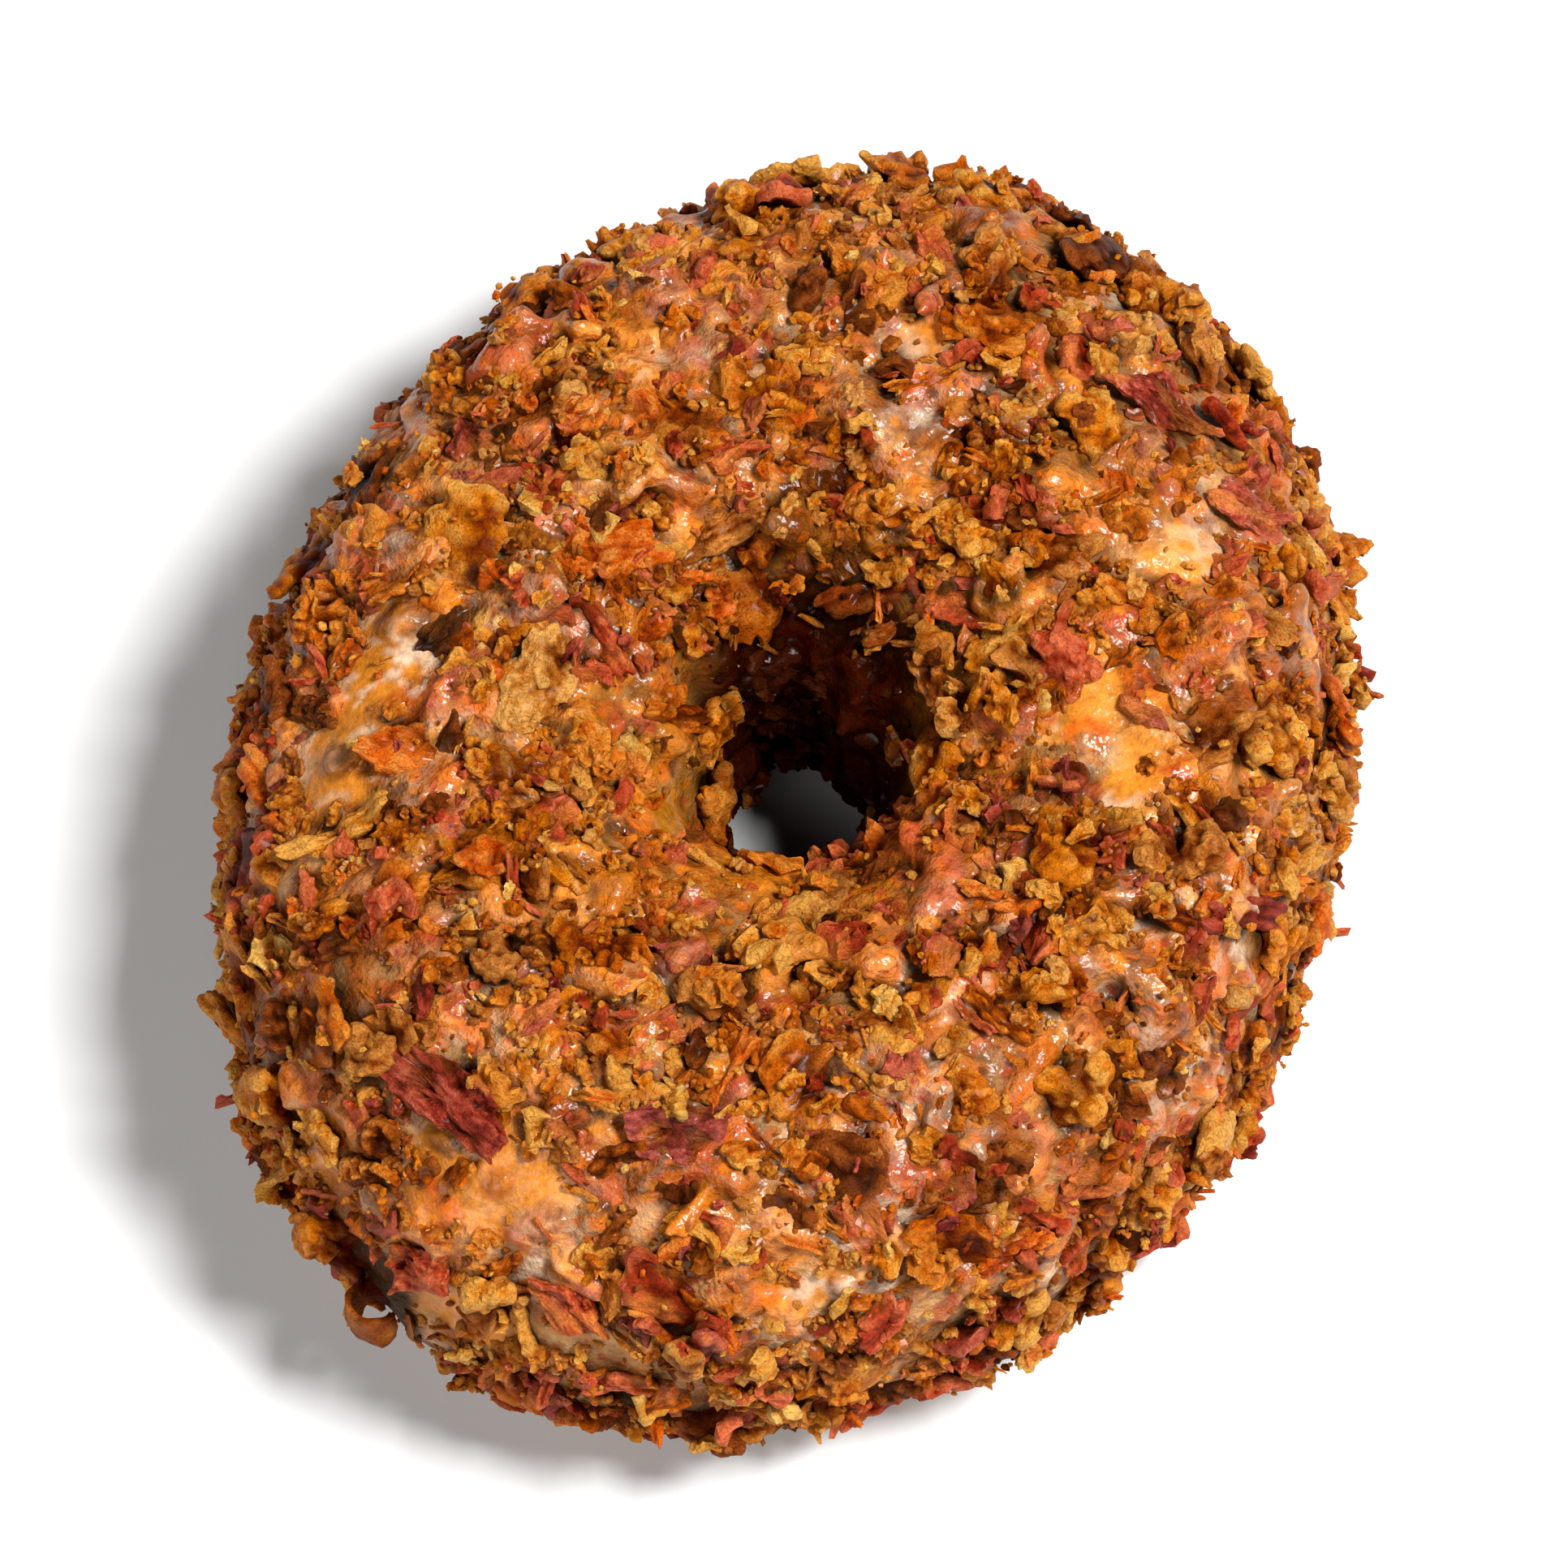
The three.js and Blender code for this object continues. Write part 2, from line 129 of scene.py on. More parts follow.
def dough_place(points):
    """The ring and tube angles of points near the dough, and their height above it."""
    ring = np.arctan2(points[..., 1], points[..., 0])
    outer, hole = outline(ring)
    from_waist = points[..., 2] - WAIST_HEIGHT
    reach_up = np.where(from_waist >= 0, CROWN, BASE)
    radius = np.hypot(points[..., 0], points[..., 1]) - (outer + hole) / 2
    tube = np.arctan2(from_waist / reach_up, radius / ((outer - hole) / 2))
    tube = np.where(tube < -math.pi / 2, tube + TURN, tube)
    out = directions(ring, tube)[2]
    return ring % TURN, tube, ((points - round_point(ring, tube)) * out).sum(-1)


def stream(seed):
    """A repeatable random stream: the same seed always gives the same numbers."""
    state = seed & WORD

    def draw(low, high):
        nonlocal state
        state = (state + 0x6D2B79F5) & WORD
        mixed = ((state ^ (state >> 15)) * (1 | state)) & WORD
        mixed = ((mixed + (((mixed ^ (mixed >> 7)) * (61 | mixed)) & WORD)) & WORD) ^ mixed
        return low + (high - low) * ((mixed ^ (mixed >> 14)) & WORD) / 4294967296

    return draw


def noise(points, seed=0):
    """Smooth noise from -1 to 1 at points, with a grid of one unit and another pattern for each seed."""
    cell = np.floor(points).astype(np.int64)
    part = points - cell
    part = part * part * (3 - 2 * part)
    total = np.zeros(points.shape[:-1])
    for dx in (0, 1):
        for dy in (0, 1):
            for dz in (0, 1):
                mixed = (cell[..., 0] + dx) * 374761393 + (cell[..., 1] + dy) * 668265263
                mixed = (mixed + (cell[..., 2] + dz) * 2246822519 + seed * 3266489917) & WORD
                mixed = ((mixed ^ (mixed >> 13)) * 1274126177) & WORD
                mixed = ((mixed ^ (mixed >> 16)) * 668265263) & WORD
                value = ((mixed >> 8) & 0xFFFF) / 32767.5 - 1
                share = np.where(dx, part[..., 0], 1 - part[..., 0])
                share = share * np.where(dy, part[..., 1], 1 - part[..., 1])
                share = share * np.where(dz, part[..., 2], 1 - part[..., 2])
                total += value * share
    return total


def smooth(low, high, value):
    share = np.clip((value - low) / (high - low), 0, 1)
    return share * share * (3 - 2 * share)


def blend(a, b, share):
    return a * (1 - share) + b * share


def linear(red, green, blue):
    """A colour given as 0 to 255 on screen, as linear light."""
    c = np.array([red, green, blue]) / 255
    return np.where(c <= 0.04045, c / 12.92, ((c + 0.055) / 1.055) ** 2.4)


def chosen(entries, chance):
    """The entry that a chance from 0 to 1 falls on, where the second value of each is its share."""
    for entry in entries:
        chance -= entry[1]
        if chance < 0:
            return entry
    return entries[0]


# The larger chips. Random ones are tried from the largest to the smallest, where no other lies too near.
CHIP_TRIES, CHIP_SEED = 1800, 20260
CHIP_LONGEST, CHIP_SHORTEST, CHIP_SPREAD = 8.6, 4.4, 0.63
CHIP_LOWEST, CHIP_INNERMOST = math.radians(-19), math.radians(202)
CHIP_TILT, CHIP_ROLL = (-12, 26), (-14, 14)  # degrees
THROAT, THROAT_SHARE = math.radians(55), 0.25  # round the hole's narrowest line, chips lie this much flatter
BARE_MARGIN = 0.35
SINK, KEEL_SHARE, TILT_LIFT = 0.85, 0.8, 0.15
SINGLE_SEED = 500
BARE_PATCHES = (  # ring, tube, radius
    (195.5, 64, 3.8), (208.5, 56, 3.1), (261.5, 53, 5.3), (25, 97, 3.4), (235.5, 140, 3.4),
    (47.5, 70, 3.2), (264, 17, 2.8), (11.5, 80, 2.6), (96.5, 84, 2.2), (295, 46, 2.5),
)
COLUMNS = ("ring", "tube", "turn", "long", "wide", "thick", "tilt", "bend")
LARGE_PIECES = {  # tone, model, then the columns
    "maroon_large": ("maroon", "lean", 252.5, 62, 8, 13.6, 5.4, 1.8, 3, 0.06),
    "purple": ("plum", "lean", 280, 77, 12, 8.6, 5.2, 1.8, -4, 0.05),
    "red_front": ("red", "lean", 273, 35, -39, 7.4, 4.4, 1.8, 4, 0.05),
    "red_side": ("red", "lean", 259, 25, 62, 7.8, 5.4, 1.8, -5, 0.08),
    "curl_left": ("gold", "strip", 219.5, 60, 105, 9.8, 2.6, 1.9, 0, 0.3),
    "maroon_back": ("maroon", "lean", 66, 59, 20, 10.2, 5.2, 1.8, 5, 0.05),
    "flake_back": ("gold", "flake", 67, 17, -75, 8.6, 7.4, 2, -16, 0.1),
    "lumpy_left": ("tan", "lump", 195.5, 105, 0, 10.4, 6, 2.6, 0, 0.02),
    "orange_inner": ("orange", "flake", 159, 106, 151, 7.6, 4.2, 2.2, 8, 0.1),
    "brown_strip": ("brown", "strip", 131, 117, 10, 8.8, 3.2, 1.8, 0, 0.08),
    "maroon_right": ("maroon", "lean", 50.5, 50, 74, 8.2, 4.4, 1.8, 4, 0.05),
    "flake_top": ("gold", "flake", 113, 17, 80, 7, 6.8, 2, 16, 0.1),
    "rust_right": ("red", "flake", 34, 103, 40, 6.4, 5, 2.2, 0, 0.03),
    "red_right": ("red", "strip", 351.5, 33, -27, 7.6, 3.2, 1.8, 0, 0.1),
}
SMALL_PIECES = (  # tone, then the columns
    ("gold", 229.5, 6, 190, 8, 3, 2, 24, 0),
    ("gold", 51.5, 16, -63, 7.4, 4.4, 2.2, 14, 0.1),
    ("red", 77, 67, 142, 5.2, 3.6, 2.2, 14, 0),
    ("brown", 104.5, 112, 159, 5, 3.6, 1.8, 6, 0),
    ("red", 58.5, 121, 46, 5.2, 3.6, 1.8, 6, 0),
    ("gold", 110, 86, 7, 6.4, 3.8, 2.2, 8, 0.14),
    ("amber", 325, 84, 97, 6.6, 2.2, 2.2, 0, 0.2),
    ("orange", 315, 39, 6, 7, 2.6, 2.2, 6, 0.2),
    ("amber", 336.5, -8, 10, 8.2, 2.4, 2.2, 0, 0.1),
    ("red", 322, 26, 54, 6, 3.2, 1.9, 0, 0),
    ("gold", 304.5, 24, -72, 5.6, 3.6, 1.9, 0, 0),
    ("brown", 257, -9, 39, 6.8, 2.8, 1.8, 10, 0.4),
    ("gold", 245, 33, 20, 6.4, 2.4, 2.2, 8, 0.1),
    ("amber", 192, 140, 119, 7.4, 2.6, 2.2, 4, 0.1),
    ("gold", 41, 117, 79, 5, 3.4, 2.2, 10, 0.1),
    ("brown", 43.5, 133, 16, 5.4, 3, 2.2, 6, 0),
    ("black", 189.5, 79, 157, 5.2, 3.2, 1.8, 0, 0),
)
KINDS = (  # kind, share, stretch, width as a share of the length, thickness, bend
    ("flake", 0.5, 1.0, (0.6, 0.9), (1.9, 2.7), (-0.05, 0.12)),
    ("strip", 0.16, 1.15, (0.4, 0.55), (2.1, 2.9), (0.0, 0.25)),
    ("lump", 0.34, 0.85, (0.65, 0.8), (3.0, 4.2), (0.0, 0.0)),
)


def resting_height(thick, long, tilt):
    return ICING + KEEL_SHARE * thick / 2 - SINK + TILT_LIFT * long * abs(math.sin(tilt))


def single_piece(numbers, index, rise):
    """A piece from its row of a table, lying in the icing and raised a little more."""
    piece = dict(zip(COLUMNS, numbers))
    for angle in ("ring", "tube", "turn", "tilt"):
        piece[angle] = math.radians(piece[angle])
    height = resting_height(piece["thick"], piece["long"], piece["tilt"]) + rise
    piece.update(roll=0.0, height=height, seed=SINGLE_SEED + index, kind="flake")
    return piece


large_pieces = [single_piece(row[2:], i, SINK / 2) for i, row in enumerate(LARGE_PIECES.values())]
small_pieces = [single_piece(row[1:], len(LARGE_PIECES) + i, 0) for i, row in enumerate(SMALL_PIECES)]


def scattered_chips():
    singles = [*large_pieces, *small_pieces]
    taken_at = [surface_point(p["ring"], p["tube"], ICING) for p in singles]
    taken_long = [p["long"] for p in singles]
    bare = [(surface_point(math.radians(r), math.radians(t), ICING), size) for r, t, size in BARE_PATCHES]
    made = []
    for i in range(CHIP_TRIES):
        draw = stream(CHIP_SEED + i)
        size = CHIP_LONGEST + (CHIP_SHORTEST - CHIP_LONGEST) * (i / CHIP_TRIES)
        ring, tube, turn = draw(0, TURN), draw(CHIP_LOWEST, CHIP_INNERMOST), draw(0, TURN)
        looseness = THROAT_SHARE if abs(tube - math.pi) < THROAT else 1
        tilt = looseness * math.radians(draw(*CHIP_TILT))
        roll = looseness * math.radians(draw(*CHIP_ROLL))
        chance = draw(0, 1)
        kind, _, stretch, wide_range, thick_range, bend_range = chosen(KINDS, draw(0, 1))
        wide, thick, bend = size * draw(*wide_range), draw(*thick_range), draw(*bend_range)
        at = surface_point(ring, tube, ICING)
        if math.hypot(at[0], at[1]) / (OUTLINE_LONG / 2) < chance:
            continue
        gaps = np.linalg.norm(np.array(taken_at) - at, axis=1)
        if (gaps < CHIP_SPREAD * (np.array(taken_long) + size) / 2).any():
            continue
        if any(np.linalg.norm(spot - at) < radius + BARE_MARGIN * size for spot, radius in bare):
            continue
        taken_at.append(at)
        taken_long.append(size)
        long = size * stretch
        made.append(
            dict(
                kind=kind, long=long, wide=wide, thick=thick, bend=bend, ring=ring, tube=tube, turn=turn,
                tilt=tilt, roll=roll, height=resting_height(thick, long, tilt),
                seed=CHIP_SEED + CHIP_TRIES + i,
            )
        )
    return made


# Meshes
def set_arrays(mesh, points, faces):
    faces = np.asarray(faces, np.int32)
    mesh.vertices.add(len(points))
    mesh.vertices.foreach_set("co", np.asarray(points, np.float32).ravel())
    mesh.loops.add(faces.size)
    mesh.loops.foreach_set("vertex_index", faces.ravel())
    mesh.polygons.add(len(faces))
    mesh.polygons.foreach_set("loop_start", np.arange(0, faces.size, faces.shape[1], dtype=np.int32))
    mesh.update(calc_edges=True)
    mesh.validate()


def linked(name, data):
    """A new object in the scene."""
    made = bpy.data.objects.new(name, data)
    bpy.context.scene.collection.objects.link(made)
    return made


def make_object(name, points, faces, colours, local, wet, material, crease=None, open_share=1.0):
    """A mesh object from points in millimetres, with its colours, its grain coordinates and its wetness.

    The fourth channel of the colour is painted shade: it tells how open to the light each point is.
    """
    mesh = bpy.data.meshes.new(name)
    set_arrays(mesh, (np.asarray(points, float) + MIDDLE) * MM, faces)
    mesh.polygons.foreach_set("use_smooth", np.full(len(mesh.polygons), True))
    if crease:
        mesh.set_sharp_from_angle(angle=crease)
    rgba = np.ones((len(points), 4), np.float32)
    rgba[:, 3] = open_share
    rgba[:, :3] = np.clip(colours / np.maximum(1, np.max(colours, 1, keepdims=True) / 0.9), 0, 1)
    tint = mesh.color_attributes.new("tint", "FLOAT_COLOR", "POINT")
    tint.data.foreach_set("color", rgba.ravel())
    grain = mesh.attributes.new("grain", "FLOAT_VECTOR", "POINT")
    grain.data.foreach_set("vector", np.asarray(local, np.float32).ravel())
    gloss = mesh.attributes.new("wet", "FLOAT", "POINT")
    gloss.data.foreach_set("value", np.clip(wet, 0, 1).astype(np.float32))
    mesh.materials.append(material)
    return linked(name, mesh)


def through_modifiers(points, faces, *modifiers):
    """Points, triangles and normals of a mesh after modifiers, each a kind and its settings."""
    mesh = bpy.data.meshes.new("draft")
    set_arrays(mesh, points, faces)
    draft = linked("draft", mesh)
    for kind, settings in modifiers:
        modifier = draft.modifiers.new(kind, kind)
        for key, value in settings.items():
            setattr(modifier, key, value)
    evaluated = draft.evaluated_get(bpy.context.evaluated_depsgraph_get())
    made = evaluated.to_mesh()
    made.calc_loop_triangles()
    out_points = np.zeros(len(made.vertices) * 3, np.float32)
    made.vertices.foreach_get("co", out_points)
    out_faces = np.zeros(len(made.loop_triangles) * 3, np.int32)
    made.loop_triangles.foreach_get("vertices", out_faces)
    normals = np.zeros(len(made.vertices) * 3, np.float32)
    made.vertices.foreach_get("normal", normals)
    evaluated.to_mesh_clear()
    bpy.data.objects.remove(draft)
    bpy.data.meshes.remove(mesh)
    out_points, normals = out_points.reshape(-1, 3).astype(float), normals.reshape(-1, 3).astype(float)
    return out_points, out_faces.reshape(-1, 3), normals


def tube_faces(rows, columns):
    """Quads over a closed grid of rows round the ring and columns round the tube."""
    i, j = np.meshgrid(np.arange(rows), np.arange(columns), indexing="ij")
    k, m = (i + 1) % rows, (j + 1) % columns
    return np.stack([i * columns + j, k * columns + j, k * columns + m, i * columns + m], -1).reshape(-1, 4)


def ball(subdivisions, radius):
    """The points and triangles of a small round mesh."""
    made = bmesh.new()
    bmesh.ops.create_icosphere(made, subdivisions=subdivisions, radius=radius)
    points = np.array([v.co[:] for v in made.verts])
    faces = np.array([[v.index for v in f.verts] for f in made.faces])
    made.free()
    return points, faces


BALL_POINTS, BALL_FACES = ball(2, 1.0)


def curvature(points, faces, normals):
    """How far each point stands out from its neighbours, about -1 to 1."""
    edges = np.concatenate([faces[:, [0, 1]], faces[:, [1, 2]], faces[:, [2, 0]]])
    value = points
    for _ in range(3):
        total = np.zeros_like(points)
        number = np.zeros(len(points))
        np.add.at(total, edges[:, 0], value[edges[:, 1]])
        np.add.at(number, edges[:, 0], 1)
        value = total / np.maximum(number, 1)[:, None]
    out = ((points - value) * normals).sum(-1)
    return np.clip(out / (1.6 * np.std(out) + 1e-9), -1.2, 1.2)


# Model chips: clusters of blobs, bundles of fibres and torn plates, roughened and thinned out
PLATE_RINGS = (  # share of the outline, side of the plate, from the middle of one face to that of the other
    (0.3, 1), (0.6, 1), (0.85, 1), (1, 0.45), (1, -0.45), (0.85, -1), (0.6, -1), (0.3, -1),
)


def grown_cluster(random, long, wide, thick, count, solid):
    """Centres and radii of blobs that grow from the middle to fill a flat patch or a lump."""
    centres = [np.zeros(3)]
    radii = [random.uniform(0.16, 0.24) * wide]
    tries = 0
    while len(centres) < count and tries < 4000:
        tries += 1
        base = random.integers(len(centres))
        radius = random.uniform(0.1, 0.2) * (wide + long) / 2
        step = random.normal(size=3) * (1, 1, 1 if solid else 0.12)
        centre = centres[base] + unit(step) * 0.8 * (radius + radii[base])
        room = np.array([long, wide, thick if solid else wide]) / 2 - 0.7 * radius * np.array([1, 1, 0.5])
        if ((centre / room) ** 2).sum() > 1:
            continue
        centres.append(centre)
        radii.append(radius)
    centres, radii = np.array(centres), np.array(radii)
    size = np.stack([radii, radii * random.uniform(0.7, 1.2, len(radii)), radii], -1)
    if not solid:
        size[:, 2] = thick * random.uniform(0.22, 0.38, len(radii))
        centres[:, 2] = 0.3 * thick * noise(centres * 0.6 + random.uniform(0, 99))
    return centres, size


def fibre_bundle(random, long, wide, thick, count, links=4):
    """Centres and radii of chained blobs that run side by side along the length, with uneven ends."""
    centres, size = [], []
    share = wide / count
    for k in range(count):
        y = ((k + 0.5) / count - 0.5) * wide * 0.86 + random.uniform(-0.1, 0.1)
        z = random.uniform(-0.16, 0.16) * thick
        low, high = -0.5 * random.uniform(0.62, 1.0), 0.5 * random.uniform(0.62, 1.0)
        for i in range(links):
            x = (low + (high - low) * (i + 0.5) / links) * long
            sideways, upwards = random.uniform(-0.08, 0.08), random.uniform(-0.1, 0.1)
            centres.append((x, y + sideways * wide / count * 3, z + upwards * thick))
            half = (high - low) * long / links * 0.82
            size.append((half, share * random.uniform(0.62, 0.9), thick * random.uniform(0.26, 0.4)))
    return np.array(centres), np.array(size)


def torn_plate(random, long, wide, thick, lean):
    """A thin folded plate with a torn outline: its points and triangles. Lean meat folds lengthways."""
    corners, around = random.integers(4 if lean else 5, 8 if lean else 9), 40
    angles = np.sort(random.uniform(0, 1, corners) * 0.5 + np.arange(corners)) / corners * TURN
    reach = random.uniform(0.5, 1.08, corners)
    rim = np.stack([reach * np.cos(angles), reach * np.sin(angles)], -1)
    where = np.arange(around) / around * corners
    first, part = where.astype(int), (where % 1)[:, None]
    rim = blend(rim[first], rim[(first + 1) % corners], part)
    shift = random.uniform(0, 99)
    flat = np.stack([rim[:, 0] * long / 2, rim[:, 1] * wide / 2, np.full(around, shift)], -1)
    rim = rim * (1 + 0.16 * noise(flat * 1.3) + 0.14 * noise(flat * 3.1, 4))[:, None]
    slope = random.uniform(-0.5, 0.5, 2)
    rings = []
    for share, side in PLATE_RINGS:
        x, y = rim[:, 0] * share * long / 2, rim[:, 1] * share * wide / 2
        flat = np.stack([x, y, np.full(around, shift)], -1)
        if lean:
            phase = 1.2 * y + slope[0] * x + 1.6 * noise(flat * (0.35, 0.6, 1.0), 5) + shift
        else:
            phase = (x * slope[0] + y * (1.2 - abs(slope[1]))) * 1.1 + shift
        fold = 0.42 * thick * np.abs(np.sin(phase)) + 0.26 * thick * noise(flat * (0.7, 0.7, 1.0), 3)
        rings.append(np.stack([x, y, fold + side * thick * 0.27], -1))
    points = np.concatenate([rings[0].mean(0, keepdims=True), *rings, rings[-1].mean(0, keepdims=True)])
    k, n = np.arange(around), (np.arange(around) + 1) % around
    faces = [np.stack([0 * k, 1 + k, 1 + n], -1)]
    for r in range(len(rings) - 1):
        a, b = 1 + r * around, 1 + (r + 1) * around
        faces += [np.stack([a + k, b + k, b + n], -1), np.stack([a + k, b + n, a + n], -1)]
    last, end = 1 + (len(rings) - 1) * around, 1 + len(rings) * around
    faces.append(np.stack([last + k, np.full(around, end), last + n], -1))
    return points, np.concatenate(faces)


def thinned(points, faces, normals, targets):
    """Versions of a model chip in a box of one unit, each with about a wanted number of triangles."""
    bulge = curvature(points, faces, normals)
    versions = []
    for target in targets:
        ratio = min(1.0, target / len(faces))
        p, f, _ = through_modifiers(points, faces, ("DECIMATE", {"ratio": ratio}))
        near = np.argmin(((p[:, None] - points[None]) ** 2).sum(-1), 1)
        low, high = p.min(0), p.max(0)
        versions.append(dict(points=(p - (low + high) / 2) / (high - low), faces=f, bulge=bulge[near]))
    return versions


def folded_chip(random, kind, dims, targets):
    points, faces = torn_plate(random, *dims, kind == "lean")
    divisions = 2 if targets[0] > MANY_TRIANGLES else 1
    subdivide = ("SUBSURF", {"levels": divisions, "subdivision_type": "SIMPLE"})
    points, faces, normals = through_modifiers(points, faces, subdivide)
    rough = points * ((0.6, 1.4, 1.4) if kind == "lean" else (1.0, 1.0, 1.0))
    push = 0.12 * noise(rough * 1.9, 1) + 0.09 * noise(rough * 3.8, 2)
    return thinned(points + normals * push[:, None], faces, normals, targets)


def fused_chip(random, kind, dims, targets):
    long, wide, thick = dims
    if kind == "strip":
        centres, size = fibre_bundle(random, long, wide, thick, random.integers(2, 4))
        centres[:, 1] += 0.3 * wide * np.sin(centres[:, 0] / long * 5 + random.uniform(0, 6))
        centres[:, 2] += 0.25 * thick * np.sin(centres[:, 0] / long * 7 + random.uniform(0, 6))
    else:
        solid = kind == "lump"
        centres, size = grown_cluster(random, long, wide, thick, 14 if solid else 18, solid)
    grains = GRAINS[kind]
    picked = random.integers(len(centres), size=grains)
    ways = unit(random.normal(size=(grains, 3)))
    grain_centres = centres[picked] + ways * size[picked] * 0.9
    grain_size = np.repeat(random.uniform(0.05, 0.1, grains)[:, None] * (long + wide) / 2, 3, axis=1)
    centres = np.concatenate([centres, grain_centres])
    size = np.concatenate([size, grain_size])
    points = (BALL_POINTS[None] * size[:, None] + centres[:, None]).reshape(-1, 3)
    faces = BALL_FACES[None] + (np.arange(len(centres)) * len(BALL_POINTS))[:, None, None]
    fuse = ("REMESH", {"mode": "VOXEL", "voxel_size": CHIP_VOXEL})
    points, faces, normals = through_modifiers(points, faces.reshape(-1, 3), fuse)
    shift = random.uniform(0, 99)
    if kind == "strip":
        push = 0.13 * noise(points * (0.5, 2.6, 2.6) + shift, 1) + 0.05 * noise(points * 3.4 + shift, 2)
    else:
        push = 0.15 * noise(points * 1.5 + shift, 1) + 0.12 * noise(points * 3.4 + shift, 2)
    return thinned(points + normals * (push * min(1, thick))[:, None], faces, normals, targets)


def model_chip(kind, seed, dims, targets):
    make = folded_chip if kind in ("plate", "lean") else fused_chip
    return make(np.random.default_rng(seed), kind, dims, targets)


def rolled_curl(around=44, across=7):
    """A narrow strip rolled into an open loop, in a box of one unit, with the axis of the loop along z."""
    turn = np.linspace(0.3, 2.05 * math.pi, around)
    reach = 0.5 - 0.035 * turn + 0.012 * np.sin(turn * 5 + 1)
    rows = []
    for side in (1, -1):
        for level in np.linspace(-0.5, 0.5, across)[::side]:
            edge = level * (1 - 0.22 * np.sin(turn * 1.7 + 0.4) ** 2)
            radius = reach + side * 0.055 * (1 - 0.5 * abs(level)) + 0.02 * np.sin(level * 7 + turn * 2)
            rows.append(np.stack([radius * np.cos(turn), radius * np.sin(turn), edge], -1))
    points = np.array(rows).reshape(-1, 3)
    points = points + 0.02 * noise(points * 7)[:, None]
    count = len(rows)
    i, j = np.meshgrid(np.arange(count), np.arange(around - 1), indexing="ij")
    k = (i + 1) % count
    a, b, c, d = i * around + j, k * around + j, k * around + j + 1, i * around + j + 1
    faces = [np.stack([a, b, c], -1).reshape(-1, 3), np.stack([a, c, d], -1).reshape(-1, 3)]
    for place, flip in ((0, 1), (around - 1, -1)):
        end = np.arange(count) * around + place
        fan = np.stack([np.full(count - 2, end[0]), end[2:], end[1:-1]], -1)
        faces.append(fan[:, ::flip])
    return dict(points=points, faces=np.concatenate(faces), bulge=np.tile(0.4 * np.sin(turn * 3), count))


CHIP_VOXEL = 0.2
GRAINS = {"strip": 8, "lump": 56, "flake": 34}
MODELS = {  # how many, and the box of each
    "flake": (12, (5.2, 3.9, 1.5)),
    "strip": (7, (6.0, 2.2, 1.3)),
    "lump": (8, (4.0, 3.2, 2.6)),
    "lean": (12, (5.4, 3.4, 1.3)),
    "plate": (12, (5.0, 3.6, 1.3)),
}
LARGE, MEDIUM, SMALL = 0, 1, 2
TRIANGLES = (860, 196, 72)  # of a large, a medium and a small chip
SINGLE_TRIANGLES, MANY_TRIANGLES = 3600, 2000
models = {
    kind: [model_chip(kind, 1000 * k + i, box, TRIANGLES) for i in range(count)]
    for k, (kind, (count, box)) in enumerate(MODELS.items())
}


def column(group, key, missing=0.0):
    """One value of each chip, as an array."""
    return np.array([c.get(key, missing) for c in group])


def chip_basis(group):
    """Where each chip is, its own three directions and the way out of the dough, as arrays."""
    ring, tube = column(group, "ring"), column(group, "tube")
    turn, tilt, roll = (column(group, key)[:, None] for key in ("turn", "tilt", "roll"))
    along, across, out = directions(ring, tube)
    x = along * np.cos(turn) + across * np.sin(turn)
    y = np.cross(out, x)
    lengthways = x * np.cos(tilt) + out * np.sin(tilt)
    tilted = np.cross(lengthways, y)
    sideways = y * np.cos(roll) + tilted * np.sin(roll)
    upwards = np.cross(lengthways, sideways)
    return surface_point(ring, tube, column(group, "height")), lengthways, sideways, upwards, out


def model_of(chip, level):
    """The model of a chip: lean meat and a share of the flakes are folded plates."""
    kind = "lean" if chip["tone"] in LEAN and chip["kind"] != "strip" else chip["kind"]
    kind = "lump" if kind == "crumb" else kind
    pick = chip["seed"] // 16 % 5
    kind = "flake" if kind == "lump" and pick > 2 else kind
    kind = "plate" if kind == "flake" and pick < 2 else kind
    choices = models[kind]
    return choices[chip["seed"] % len(choices)][level]


